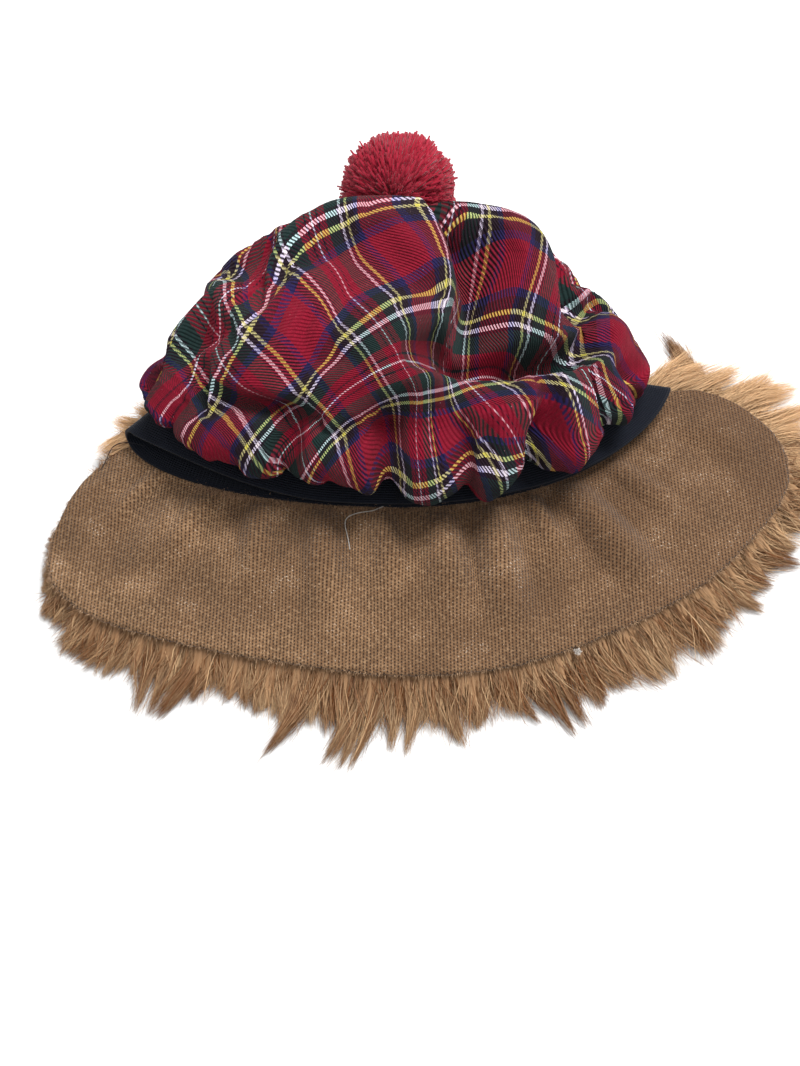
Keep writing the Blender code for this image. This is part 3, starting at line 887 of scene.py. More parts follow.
def tartan():
    """Brushed twill flannel: each thread takes its colour from the sett, two over and two under."""
    s = Shader("tartan_flannel", 0.92, specular=0.06, sheen=0.03, sheen_roughness=0.5)
    uv, across, along = s.cloth()
    stops = []
    start = 0
    for count, colour in SETT:
        stops.append((start / HALF_SETT, colour))
        start += count
    colours = []
    threads = []
    for value in (across, along):
        thread = s.math("FLOOR", s.plus(value, THREADS_ADDED))
        threads.append(thread)
        place = s.math("PINGPONG", s.plus(thread, 0.5), float(HALF_SETT))
        dye = s.ramp(s.math("DIVIDE", place, float(HALF_SETT)), stops, "CONSTANT")
        uneven = s.add("ShaderNodeTexWhiteNoise", noise_dimensions="1D")
        s.link(thread, uneven.inputs["W"])
        shade = s.grey(s.scaled(uneven.outputs["Value"], THREAD_SHADES[1], THREAD_SHADES[0]))
        colours.append(s.mix(1.0, dye, shade, "MULTIPLY"))
    # near the seam the cloth's fullness is hidden in its folds, and the twill keeps its own measure
    _, sideways, up = s.cloth("local")
    near = s.above(s.point_data("near_seam", "Fac"), 0.5)
    local = [s.math("FLOOR", s.plus(value, THREADS_ADDED)) for value in (sideways, up)]
    over = s.choose(near, s.twill(threads), s.twill(local))
    # the nap of each thread is tinged by the one that crosses it, most of all where it is pale
    tinged = [s.mix(s.times(colour, PALE_TINGE), colour, other, "COLOR")
              for colour, other in (colours, colours[::-1])]
    woven = s.mix(s.scaled(over, 1 - 2 * NAP, NAP), *tinged)
    fuzz = s.noise(uv, 0.9, 3.0, 0.7)
    woven = s.mix(s.times(fuzz, FUZZ_SHARE), woven, FUZZ_COLOUR)
    specks = s.above(s.noise(s.place(), 900.0, 1.0), 0.79)
    woven = s.mix(s.times(specks, LINT_SHARE), woven, LINT_COLOUR)
    s.link(woven, s.surface.inputs["Base Color"])
    slant = s.choose(near, s.plus(across, along), s.plus(sideways, up))
    s.bumps(s.scaled(fuzz, 0.8, s.wave(slant, TWILL)), FLANNEL_BUMPS, 0.85)
    return s.material


def elastic():
    """Black elastic webbing with fine ribs along its length."""
    s = Shader("ribbed_elastic", 0.76, specular=0.18, sheen=0.06, sheen_roughness=0.4)
    uv, along, across = s.cloth()
    rib = s.wave(across, RIB_PITCH * 1000)
    tick = s.wave(along, TICK_PITCH * 1000)
    shade = s.scaled(s.noise(uv, 0.5, 3.0, 0.7), 0.35, s.scaled(rib, 0.25, 0.5))
    s.link(s.ramp(shade, ((0.2, ELASTIC_DARK), (1.0, ELASTIC_LIGHT))), s.surface.inputs["Base Color"])
    s.bumps(s.scaled(tick, 0.3, rib), ELASTIC_BUMPS, 0.8)
    return s.material


def knit():
    """Thin open knit with a hole between each two stitches, fluffy in places, uneven in tone, and with
    painted shade at its right end.
    """
    s = Shader("knitted_backing", 0.88, specular=0.15, sheen=0.15, sheen_roughness=0.5)
    uv, across, along = s.cloth()
    wale = s.math("DIVIDE", across, STITCH * 1000)
    odd = s.math("MODULO", s.plus(s.math("FLOOR", wale), STITCHES_ADDED), 2.0)
    course = s.plus(s.math("DIVIDE", along, STITCH * 1000), s.times(odd, 0.5))
    aside = s.minus(s.math("FRACT", wale), 0.5)
    above = s.minus(s.math("FRACT", s.plus(course, STITCHES_ADDED)), 0.5)
    # holes are narrow and tall, and the loops' two legs stand up on both sides of each
    near = s.plus(s.times(s.times(aside, aside), 14.0), s.times(s.times(above, above), 6.0))
    hole = s.minus(1.0, s.at_most(near, 1.0))
    leg = s.times(s.math("ABSOLUTE", aside), 2.0)
    tone_lumps = s.noise(uv, 0.045, 4.0, 0.6)
    fluff = s.noise(uv, 0.55, 3.0, 0.75)
    fine = s.noise(uv, 1.6, 2.0, 0.7)
    base = s.ramp(tone_lumps, KNIT_TONE_RAMP)
    base = s.mix(s.times(fine, 0.55), base, KNIT_SHADOW)
    base = s.mix(s.times(s.times(leg, fluff), 0.35), base, KNIT_FLUFF)
    base = s.mix(s.times(s.past(fluff, 0.47), 2.4), base, KNIT_FLUFF)
    # painted shade, darker towards the right end where the backing lies in shade, and darker broad
    # patches at random
    right_end_shade = s.at_most(s.math("MAXIMUM", s.scaled(across, 0.0056, 0.33), 0.0), 1.0)
    base = s.mix(s.times(right_end_shade, 0.46), base, KNIT_RIGHT_SHADE)
    broad = s.times(s.past(s.noise(uv, 0.017, 2.0, 0.5), 0.46), 3.0)
    base = s.mix(s.at_most(broad, 0.40), base, KNIT_PATCH)
    holes = s.times(hole, s.scaled(fluff, -1.1, 1.45))
    base = s.mix(s.at_most(s.times(holes, 1.1), 0.88), base, KNIT_HOLE)
    speck = s.above(s.times(s.noise(uv, 1.1, 2.0, 0.6), s.plus(tone_lumps, 0.5)), 0.72)
    base = s.mix(s.times(speck, 0.6), base, KNIT_SPECK)
    s.link(base, s.surface.inputs["Base Color"])
    s.bumps(s.minus(s.times(fluff, 1.2), holes), KNIT_BUMPS, 0.9)
    return s.material


def tinted(name, roughness, sheen, scale):
    """Fibres that take their colour from the tints of their points, with fine streaks."""
    s = Shader(name, roughness, specular=0.25, sheen=sheen, sheen_roughness=0.4)
    streak = s.grey(s.scaled(s.noise(s.place(), scale, 3.0, 0.6), 0.5, 0.75))
    s.link(s.mix(1.0, s.point_data("tint", "Color"), streak, "MULTIPLY"), s.surface.inputs["Base Color"])
    return s.material


# Crown
def crown_fine():
    """The crown's outer face with all its folds, and the cloth coordinates of its points."""
    rows, coarse = crown_rows()
    mouth_end = MOUTH_SECTIONS[-1][0]
    for _ in range(EASE_STEPS):
        coarse = eased(coarse, EASE_SHARE * np.clip((rows - mouth_end) / EASE_RUN, 0, 1))
    grid = finer(coarse, CROWN_FINER)
    rows = np.linspace(0, 1, len(grid)) ** SEAM_CROWDING
    turns = station_turns(grid.shape[1])
    outward = outward_of(grid)
    lift = np.zeros(grid.shape[:2])
    sideways = np.zeros(grid.shape[:2])
    for turn, along, wide, long, height, lean in CROWN_FOLDS + FINE_FOLDS:
        hill = bump(turn_apart(turns, turn) / wide) * bump((rows[:, None] - along) / long)
        lift += hill * height * FOLD_DEPTH
        sideways += hill * lean * FOLD_DEPTH
    for turn, wide, height, along in CLOTH_GATHERS:
        hill = bump(turn_apart(turns, turn) / wide) * bump((rows[:, None] - along) / GATHER_LONG)
        lift += hill * height * FOLD_DEPTH
    # pleats that run out from the seam, and soft lumps all over
    spread = np.radians(turns)
    pleats = sum(height * np.sin(spread * count + sway * np.cos(spread * slow - start))
                 for height, count, sway, slow, start in PLEATS)
    lift += pleats * np.exp(-((rows[:, None] - PLEATS_AT) / PLEATS_LONG) ** 2)
    lift += sum(height * noise_at(grid, size, seed) for height, size, seed in CROWN_LUMPS)
    free = np.clip(rows / SEAM_HOLD, 0, 1)[:, None]
    around = unit(np.roll(grid, -1, axis=1) - np.roll(grid, 1, axis=1))
    smooth = grid
    grid = grid + outward * (lift * free)[..., None] + around * (sideways * free)[..., None]
    grid[..., 2] = np.maximum(grid[..., 2], LOWEST_CLOTH)
    # distance over the cloth from the seam, as a share of the way to the apex
    step = np.linalg.norm(np.diff(smooth, axis=0), axis=2)
    way = np.concatenate([np.zeros((1, step.shape[1])), np.cumsum(step, axis=0)])
    from_apex = DISC_RADIUS * (1 - way / way[-1])
    flat = np.stack([from_apex * np.sin(spread), -from_apex * np.cos(spread)], axis=-1)
    grid = finer(settled(grid, rows), CROWN_SMOOTHER)
    threads = finer(flat, CROWN_SMOOTHER) / THREAD
    return grid, crept(threads) + np.array(TARTAN_PHASE), local_threads(grid)


def local_threads(grid):
    """Threads counted over the cloth as it lies, sideways from the front and up from the seam."""
    around = rolling(np.linalg.norm(np.roll(grid, -1, axis=1) - grid, axis=2), EVEN_AROUND)
    half = grid.shape[1] // 2
    right = np.cumsum(around, axis=1) - around
    whole = around.sum(axis=1, keepdims=True)
    sideways = np.where(np.arange(grid.shape[1]) > half, right - whole, right)
    step = rolling(np.linalg.norm(np.diff(grid, axis=0), axis=2), EVEN_ALONG)
    up = np.concatenate([np.zeros((1, grid.shape[1])), np.cumsum(step, axis=0)])
    return np.stack([sideways, up], axis=-1) / THREAD


def rolling(values, reach):
    """Means over neighbours round each closed row."""
    return sum(np.roll(values, step, axis=1) for step in range(-reach, reach + 1)) / (2 * reach + 1)


def finer(grid, times):
    """A grid of closed rows made finer both ways."""
    return refined(refined(grid, times, False).swapaxes(0, 1), times, True).swapaxes(0, 1)


def closed_bag(grid):
    """Points and faces of closed rows whose last one is drawn together to a point."""
    count = grid.shape[1]
    points = np.vstack([grid[:-1].reshape(-1, grid.shape[2]), grid[-1].mean(axis=0)])
    tip = len(points) - 1
    faces = grid_faces(len(grid) - 1, count, True).tolist()
    faces += [(tip - count + k, tip - count + (k + 1) % count, tip) for k in range(count)]
    return points, faces


def settled(grid, rows):
    """The crown after a cloth simulation in which the fullness of its cloth has buckled."""
    points, faces = closed_bag(grid)
    mesh = bpy.data.meshes.new("settling")
    mesh.from_pydata(points.tolist(), [], faces)
    item = bpy.data.objects.new("settling", mesh)
    scene = bpy.context.scene
    scene.collection.objects.link(item)
    hold = item.vertex_groups.new(name="hold")
    count = grid.shape[1]
    held = smooth_column(np.array(SETTLING_HOLD)[:, 0], np.array(SETTLING_HOLD)[:, 1:], rows)
    for row, share in enumerate(held[:, 0].clip(0, 1)):
        here = list(range(row * count, min((row + 1) * count, len(points))))
        hold.add(here, float(share), "REPLACE")
    cloth = item.modifiers.new("cloth", "CLOTH")
    settings = cloth.settings
    for name, value in SETTLING.items():
        setattr(settings, name, value)
    settings.vertex_group_mass = "hold"
    settings.effector_weights.gravity = 0
    cloth.collision_settings.use_collision = False
    cloth.collision_settings.use_self_collision = False
    cloth.point_cache.frame_start = 1
    cloth.point_cache.frame_end = SETTLING_FRAMES
    for step in range(1, SETTLING_FRAMES + 1):
        scene.frame_set(step)
    shown = item.evaluated_get(bpy.context.evaluated_depsgraph_get())
    found = np.empty(len(points) * 3, np.float32)
    shown.data.vertices.foreach_get("co", found)
    found = found.reshape(-1, 3).astype(float)
    bpy.data.objects.remove(item)
    bpy.data.meshes.remove(mesh)
    scene.frame_set(1)
    bag = np.concatenate([found[:-1].reshape(len(grid) - 1, count, 3),
                          np.broadcast_to(found[-1], (1, count, 3))])
    bag[..., 2] = np.maximum(bag[..., 2], LOWEST_CLOTH)
    return bag


def crept(threads):
    """Cloth places moved smoothly so that each of the marks lies where the table says."""
    marks = np.array(CLOTH_MARKS, float)
    plain, shift = marks[:, :2], marks[:, 2:] - marks[:, :2]

    def pull(places):
        apart = np.linalg.norm(places[:, None] - plain[None], axis=-1)
        return apart ** 2 * np.log(np.maximum(apart, 1e-9))

    count = len(marks)
    level = np.column_stack([np.ones(count), plain / 100])
    bent = pull(plain) + MARK_SLACK * np.eye(count)
    system = np.block([[bent, level], [level.T, np.zeros((3, 3))]])
    weights = np.linalg.solve(system, np.vstack([shift, np.zeros((3, 2))]))
    flat = threads.reshape(-1, 2)
    moved = flat + pull(flat) @ weights[:count]
    moved = moved + np.column_stack([np.ones(len(flat)), flat / 100]) @ weights[count:]
    return moved.reshape(threads.shape)


def make_crown():
    grid, threads, local = crown_fine()
    points, faces = closed_bag(grid)
    crown = mesh_object("crown_cloth", points, faces, tartan(), closed_bag(threads)[0])
    loops = np.empty(len(crown.data.loops), int)
    crown.data.loops.foreach_get("vertex_index", loops)
    layer = crown.data.uv_layers.new(name="local")
    layer.data.foreach_set("uv", closed_bag(local)[0][loops].ravel())
    near = np.repeat(np.arange(len(grid)) < len(grid) * LOCAL_ROWS, grid.shape[1])
    layer = crown.data.attributes.new(name="near_seam", type="FLOAT", domain="POINT")
    layer.data.foreach_set("value", np.append(near[:len(points) - 1], 0).astype(float))
    face = crown.data.polygons[len(faces) // 2]
    if face.normal.dot(face.center - Vector(points.mean(axis=0) + SHIFT)) < 0:
        crown.data.flip_normals()
    with_wall(crown, FLANNEL, -1)
    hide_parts("crown")
    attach(crown, "root")


# Headband
def make_headband():
    across = np.linspace(0, BAND_WIDTH, BAND_LINES)
    grid = np.array([band_ring(BAND_TURNS, a, 0, a, 0) for a in across])
    inner = bump((across / BAND_WIDTH - 0.5) * 2)[:, None]
    grid[..., 2] += BAND_WAVE * noise_at(grid, BAND_WAVE_LONG, 5.0) * inner
    around = np.linalg.norm(np.roll(grid, -1, axis=1) - grid, axis=2).mean(axis=0)
    along = np.concatenate([[0], np.cumsum(around)[:-1]]) * 1000
    uvs = np.stack([np.broadcast_to(along, grid.shape[:2]),
                    np.broadcast_to(across[:, None] * 1000, grid.shape[:2])], axis=-1)
    band = mesh_object("headband_elastic", grid.reshape(-1, 3),
                       grid_faces(len(across), grid.shape[1], True), elastic(), uvs.reshape(-1, 2))
    with_wall(band, ELASTIC, 0)
    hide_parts("headband")
    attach(band, "root")


# Backing
def make_backing():
    turns = np.linspace(-1, 1, BACKING_COLUMNS) * END_CROWDING
    shares = np.sin(turns) / math.sin(END_CROWDING)
    sewn, outer = flap_lines(shares)
    depth = np.linalg.norm(outer - sewn, axis=1)
    wave = sum(height * (1 + np.sin(shares * turn + start)) for height, turn, start in RIPPLE_WAVES)
    parts = np.linspace(0, 1, BACKING_ROWS)
    rows = []
    for part in parts:
        free = bump((part * depth - RIPPLE_MIDDLE) / (RIPPLE_MIDDLE - FLAP_LAP))
        height = PILE_DEPTH + CLEARANCE + RIPPLE * free * wave
        rows.append(np.column_stack([sewn + (outer - sewn) * part, height]))
    grid = np.array(rows)
    down = parts[:, None] * depth
    soft = sum(height * noise_at(grid, size, seed) for height, size, seed in KNIT_LUMPS)
    grid[..., 2] += np.maximum(soft, -KNIT_SINK) * np.clip(down / KNIT_LOOSE, 0, 1)
    for at, wide, reach, rise, slant in KNIT_FOLDS:
        aside = (shares - at - slant * down / FLAP_DEPTH) / wide
        hill = bump(aside) * bump((down - reach / 2) / (reach / 2))
        grid[..., 2] += rise * hill * np.clip((down - FLAP_HELD) / FLAP_HELD, 0, 1)
    fray = sum(height * np.sin(shares * count + sway * np.sin(shares * slow))
               for height, count, sway, slow in EDGE_FRAY)
    grid[-1, :, :2] += unit(outer - sewn) * fray[:, None]
    backing = mesh_object("backing_knit", grid.reshape(-1, 3),
                          grid_faces(len(parts), len(shares), False), knit(),
                          grid[..., :2].reshape(-1, 2) * (1000, -1000))
    if backing.data.polygons[0].normal.z < 0:
        backing.data.flip_normals()
    with_wall(backing, KNIT, 1)
    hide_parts("hair_backing")
    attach(backing, "root")


# Fur
def rim_line():
    """The flap's outer edge: its length, and its points, outward directions and tangents."""
    _, outer = flap_lines(np.linspace(-1, 1, RIM_MEASURED))
    length = np.concatenate([[0], np.cumsum(np.linalg.norm(np.diff(outer, axis=0), axis=1))])
    at = np.linspace(0, 1, RIM_STEPS)
    rim = np.column_stack([np.interp(at * length[-1], length, outer[:, k]) for k in range(2)])
    tangent = unit(np.gradient(rim, axis=0))
    outward = np.column_stack([tangent[:, 1], -tangent[:, 0]])
    return length[-1], at, rim, outward, tangent


RIM_LENGTH, RIM_AT, RIM, RIM_OUT, RIM_TANGENT = rim_line()


def on_rim(at):
    """Rim points, outward directions and tangents at shares of the rim."""
    at = np.clip(at, 0, 1)
    parts = []
    for table in (RIM, RIM_OUT, RIM_TANGENT):
        parts.append(np.column_stack([np.interp(at, RIM_AT, table[:, k]) for k in range(2)]))
    return parts[0], unit(parts[1]), unit(parts[2])


def ribbons(name, paths, widths, tints, material, draw):
    """Thin fibres as one mesh. paths is fibres by points by 3, widths a number for each fibre."""
    count, points = paths.shape[:2]
    along = unit(np.gradient(paths, axis=1))
    turn = draw.normal(size=(count, 1, 3))
    side = unit(np.cross(along, turn + np.array([0, 0, 1.5])))
    taper = (1 - np.linspace(0, 1, points) ** RIBBON_TAPER)[None, :, None] * (1 - RIBBON_TIP) + RIBBON_TIP
    half = widths[:, None, None] * taper / 2
    both = np.stack([paths - side * half, paths + side * half], axis=2).reshape(-1, 3)
    both[:, 2] = np.maximum(both[:, 2], LOWEST_FIBRE)
    start = np.arange(count)[:, None] * points * 2 + np.arange(points - 1)[None, :] * 2
    start = start.reshape(-1)
    faces = np.stack([start, start + 1, start + 3, start + 2], axis=-1)
    return mesh_object(name, both, faces, material, tints=np.repeat(tints.reshape(-1, 3), 2, axis=0))


def bezier(first, second, third, last, points):
    """Points on curves with those ends and handles."""
    t = np.linspace(0, 1, points)[None, :, None]
    return (first[:, None] * (1 - t) ** 3 + 3 * second[:, None] * t * (1 - t) ** 2
            + 3 * third[:, None] * t ** 2 * (1 - t) + last[:, None] * t ** 3)


def fur_tints(shade, points, draw):
    """Colours from root to tip, with painted shade at the roots under the backing's edge and between the
    locks, for fibres of a shade from 0 to 1.
    """
    t = np.linspace(0, 1, points)[None, :, None]
    shade = np.clip(shade + draw.normal(0, 0.34, len(shade)), -0.3, 1)[:, None, None]
    colour = FUR_MIDDLE * (1 - shade) + FUR_LIGHT * shade
    # painted shade: the lower part of each fibre is darkened towards its root
    root = np.clip(0.06 + t * 1.25, 0, 1)
    return colour * root + FUR_SHADOW_COLOUR * (1 - root)


def fur_lock_fibres(name, locks, per_lock, seed, low, high, material):
    """Fibres gathered into curved, ragged locks. Each lock is at, reach, lean, half width, shade."""
    draw = np.random.default_rng(seed)
    locks = np.asarray(locks, float)
    curl = draw.normal(0, 0.16, len(locks))
    split = draw.integers(1, 4, len(locks))
    pick = np.repeat(np.arange(len(locks)), per_lock)
    at, reach, lean, half, shade = locks[pick].T
    count = len(pick)
    aside = np.clip(draw.normal(0, 0.55, count), -1.4, 1.4)
    base, outward, _ = on_rim(at + aside * half / RIM_LENGTH)
    middle, lock_out, lock_tangent = on_rim(at)
    inset = draw.uniform(0.0, ROOT_INSET, (count, 1))
    root = np.column_stack([base - outward * inset, draw.uniform(low, high, count)])
    # each lock frays into a few finer points, whose fibres end at uneven lengths
    point = np.floor((aside + 1.4) / 2.8 * split[pick] * 0.999)
    point_at = (point + 0.5) / split[pick] * 2.0 - 1.0
    point_long = 0.72 + 0.34 * np.abs(np.sin(pick * 12.9898 + point * 78.233))
    spread = point_at * half * 0.55 + draw.normal(0, 0.0007, count)
    loose = draw.uniform(0, 1, count) < LOOSE_SHARE
    long = reach * point_long * np.where(loose, draw.uniform(*LOOSE_REACHES, count),
                                         draw.uniform(*LOCK_REACHES, count))
    spread = np.where(loose, spread + draw.normal(0, LOOSE_SPREAD, count), spread)
    drift = lean * long + curl[pick] * long
    tip_plan = middle + lock_out * long[:, None] + lock_tangent * (spread + drift)[:, None]
    lift = draw.uniform(*TIP_HEIGHTS, count) * np.clip(high / 0.011, 0.4, 1)
    tip = np.column_stack([tip_plan, lift])
    first = root + np.column_stack([outward * (long * 0.38)[:, None],
                                    draw.uniform(-0.001, 0.0025, count)])
    second = tip * 0.70 + root * 0.30
    second[:, :2] += lock_tangent * (draw.normal(0, 0.0010, count) - drift * 0.30)[:, None]
    second[:, 2] += draw.uniform(0.000, 0.0024, count)
    paths = bezier(root, first, second, tip, LOCK_POINTS)
    t = np.linspace(0, 1, LOCK_POINTS)[None, :]
    wave = np.sin(t * draw.uniform(5, 10, (count, 1)) + pick[:, None] * 1.7 + point[:, None])
    rise = t * draw.uniform(0.0002, 0.0011, (count, 1))
    paths[..., :2] += lock_tangent[:, None] * (wave * rise)[..., None]
    widths = draw.uniform(*FIBRE_WIDTHS, count)
    # low fibres lie in the shade of the ones above
    deep = np.clip(0.42 + 0.75 * paths[..., 2:] / PILE_DEPTH, 0, 1.12)
    streak = draw.uniform(0.72, 1.22, (count, 1, 1))
    tints = fur_tints(shade, LOCK_POINTS, draw) * deep * streak
    return ribbons(name, paths, widths, np.clip(tints, 0, 0.9), material, draw)


def rim_locks(count, seed, scale, width):
    """Locks at uneven steps round the rim, in runs of longer and shorter ones."""
    draw = np.random.default_rng(seed)
    at = (np.arange(count) + draw.uniform(-0.55, 0.55, count)) / (count - 1)
    at = np.clip(at, 0, 1)
    envelope = np.interp(at, *np.array(LOCK_ENVELOPE).T)
    run = 0.5 + 0.5 * np.sin(at * 43 + seed + 2.0 * np.sin(at * 17 + seed))
    reach = LOCK_REACH * envelope * scale * (0.70 + 0.32 * run) * draw.uniform(0.85, 1.15, count)
    sweep = np.interp(at, *np.array(FUR_SWEEP).T)
    lean = sweep + 0.22 * np.sin(at * 29 + seed * 2.0) + draw.normal(0, 0.10, count)
    half = width * draw.uniform(0.5, 1.5, count)
    shade = np.clip(0.30 + 0.22 * np.clip((at - 0.70) / 0.30, 0, 1) + draw.normal(0, 0.30, count), 0, 1)
    return np.column_stack([at, reach, lean, half, shade])


def make_fur_base(material):
    """The dense fur under the backing: a flat-bottomed layer whose rim is broken into locks."""
    at = np.linspace(0, 1, BASE_STEPS)
    rim, outward, _ = on_rim(at)
    sewn, _ = flap_lines(at * 2 - 1)
    under = sewn + (rim - sewn) * PILE_TUCK
    envelope = np.interp(at, *np.array(LOCK_ENVELOPE).T)
    teeth = 0.42 + 0.13 * np.sin(at * 260 + 2 * np.sin(at * 31)) + 0.10 * np.sin(at * 611)
    reach = LOCK_REACH * envelope * np.clip(teeth, 0.2, 0.8)
    rows = [(under, PILE_DEPTH), ((sewn + rim) / 2, PILE_DEPTH), (rim - outward * 0.002, PILE_DEPTH)]
    for out, height in ((0.3, 0.74), (0.65, 0.48), (1.0, 0.20), (0.95, 0.08), (0.5, 0.0)):
        rows.append((rim + outward * (reach * out)[:, None], PILE_DEPTH * height))
    rows.append((under, 0.0))
    grid = np.array([np.column_stack([plan, np.full(len(plan), height)]) for plan, height in rows])
    grid[3:6, :, 2] += 0.0008 * np.sin(at * 1500 + 3 * np.sin(at * 47))
    grid[..., 2] = np.clip(grid[..., 2], 0, PILE_DEPTH)
    grid = np.concatenate([grid, grid[:1]])
    faces = grid_faces(len(grid), len(at), False)
    shade = np.clip(0.20 + 0.25 * at, 0, 1)[None, :, None]
    # painted shade: the pile is darkest just under the backing's edge and near the floor, and lightest at
    # the tips of its locks
    depth = np.array([0.35, 0.35, 0.30, 0.60, 0.90, 1.0, 0.7, 0.5, 0.4, 0.35])[:, None, None]
    tints = (FUR_SHADOW_COLOUR * (1 - depth) + (FUR_MIDDLE * (1 - shade) + FUR_LIGHT * shade) * depth)
    base = mesh_object("fur_base", grid.reshape(-1, 3), faces, material, tints=tints.reshape(-1, 3))
    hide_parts("hair_pile")
    return base


def make_tufts(material):
    """Long wisps that stand past the backing at its two ends."""
    draw = np.random.default_rng(61)
    table = np.array(TUFTS)
    pick = np.repeat(np.arange(len(table)), table[:, 7].astype(int))
    count = len(pick)
    root, tip, half = table[pick, :3], table[pick, 3:6], table[pick, 6:7]
    way = tip - root
    aside = unit(np.column_stack([-way[:, 1], way[:, 0], np.zeros(count)]))
    spread = np.clip(draw.normal(0, 0.5, (count, 1)), -1.3, 1.3)
    root = root + aside * spread * half - way * draw.uniform(0, 0.25, (count, 1))
    root[:, 2] = np.clip(root[:, 2] + draw.normal(0, 0.0015, count), 0.001, None)
    tip = table[pick, :3] + way * draw.uniform(0.55, 1.08, (count, 1)) + aside * spread * half * 0.45
    tip = tip + draw.normal(0, WISP_SPREAD, (count, 3))
    bow = np.array(TUFT_BOW)[pick % len(TUFT_BOW)][:, None]
    sag = bow * aside * np.linalg.norm(way, axis=1, keepdims=True)
    first = root * 0.65 + tip * 0.35 + sag + draw.normal(0, WISP_CURL, (count, 3))
    second = root * 0.30 + tip * 0.70 + sag * 0.7 + draw.normal(0, WISP_CURL, (count, 3))
    paths = bezier(root, first, second, tip, TUFT_POINTS)
    tints = fur_tints(np.full(count, 0.62), TUFT_POINTS, draw)
    tints = tints * 0.6 + (FUR_LIGHT * 0.9) * 0.4
    return ribbons("fur_tufts", paths, draw.uniform(*WISP_WIDTHS, count), tints, material, draw)


def loose_thread(name, radius, colour, route):
    """A stray thread: a round curve through its points."""
    curve = bpy.data.curves.new(name, "CURVE")
    curve.dimensions = "3D"
    curve.bevel_depth = radius
    curve.bevel_resolution = 2
    spline = curve.splines.new("NURBS")
    spline.points.add(len(route) - 1)
    for point, place in zip(spline.points, route):
        point.co = (*(np.array(place) + SHIFT), 1)
    spline.use_endpoint_u = True
    spline.order_u = 3
    s = Shader(name, 0.7, specular=0.2)
    grain = s.noise(s.place(), 3000.0, 2.0)
    s.link(s.mix(grain, tuple(c * 0.8 for c in colour), colour), s.surface.inputs["Base Color"])
    curve.materials.append(s.material)
    item = bpy.data.objects.new(name, curve)
    bpy.context.scene.collection.objects.link(item)
    return item


def fluff(name, root, outward, looks, draw, material):
    """Short curled fibres that stand out of an edge. Their looks are a row of FLUFF."""
    count = len(root)
    way = outward * draw.uniform(*looks["long"], (count, 1))
    way = way + draw.normal(0, looks["stray"], way.shape) + (0, 0, looks["rise"])
    curl = draw.normal(0, looks["curl"], way.shape)
    paths = bezier(root, root + way * 0.4 + curl, root + way * 0.8 - curl, root + way, FLUFF_POINTS)
    paths[..., 2] = np.maximum(paths[..., 2], looks["lowest"])
    shade = draw.uniform(*looks["shades"], (count, 1))[:, None]
    tints = np.tile(np.array(looks["colour"]) * shade, (1, FLUFF_POINTS, 1))
    return ribbons(name, paths, draw.uniform(*looks["widths"], count), tints, material, draw)


def seam_fluff(material, draw):
    """Fluff on the backing, along the edge that is sewn to the band."""
    looks = FLUFF["seam_fluff"]
    points, _, inward = edge_in_plan(draw.uniform(*looks["span"], looks["fibres"]), BAND_END_TURN)
    sink = draw.uniform(*looks["sink"], (looks["fibres"], 1))
    root = np.column_stack([points + inward * sink, np.full(looks["fibres"], looks["height"])])
    outward = np.column_stack([-inward, np.zeros(looks["fibres"])])
    return fluff("seam_fluff", root, outward, looks, draw, material)


def rim_fluff(material, draw):
    """Fluff out of the backing's cut edge."""
    looks = FLUFF["rim_fluff"]
    base, outward, _ = on_rim(draw.uniform(*looks["span"], looks["fibres"]))
    height = PILE_DEPTH + KNIT * draw.uniform(*looks["height"], looks["fibres"])
    root = np.column_stack([base - outward * looks["sink"], height])
    outward = np.column_stack([outward, np.zeros(looks["fibres"])])
    return fluff("rim_fluff", root, outward, looks, draw, material)


def lint(material, draw):
    """The bit of lint on the backing's rim."""
    middle = np.array(LINT)
    start = middle + draw.normal(0, LINT_RADIUS, (LINT_FIBRES, 3))
    first = start + draw.normal(0, LINT_CURL, start.shape)
    second = start + draw.normal(0, LINT_CURL, start.shape)
    end = middle + draw.normal(0, LINT_RADIUS, start.shape)
    paths = bezier(start, first, second, end, LINT_POINTS)
    tints = np.tile(np.array(PALE_THREAD), (LINT_FIBRES, LINT_POINTS, 1))
    return ribbons("lint", paths, np.full(LINT_FIBRES, LINT_WIDTH), tints, material, draw)


def make_threads_and_fluff():
    draw = np.random.default_rng(71)
    material = tinted("fluff", 0.8, 0.1, 2600.0)
    for row in LOOSE_THREADS:
        item = loose_thread(*row)
        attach(item, "root")
    for item in (seam_fluff(material, draw), rim_fluff(material, draw), lint(material, draw)):
        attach(item, "root")


def make_fur():
    material = tinted("fur_fibres", 0.62, 0.12, 2600.0)
    items = [make_fur_base(material), make_tufts(material)]
    for name, count, per_lock, seed, scale, width, low, high in FUR_LAYERS:
        locks = rim_locks(count, seed, scale, width)
        items.append(fur_lock_fibres(name, locks, per_lock, seed + 10, low, high, material))
    for item in items:
        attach(item, "root")


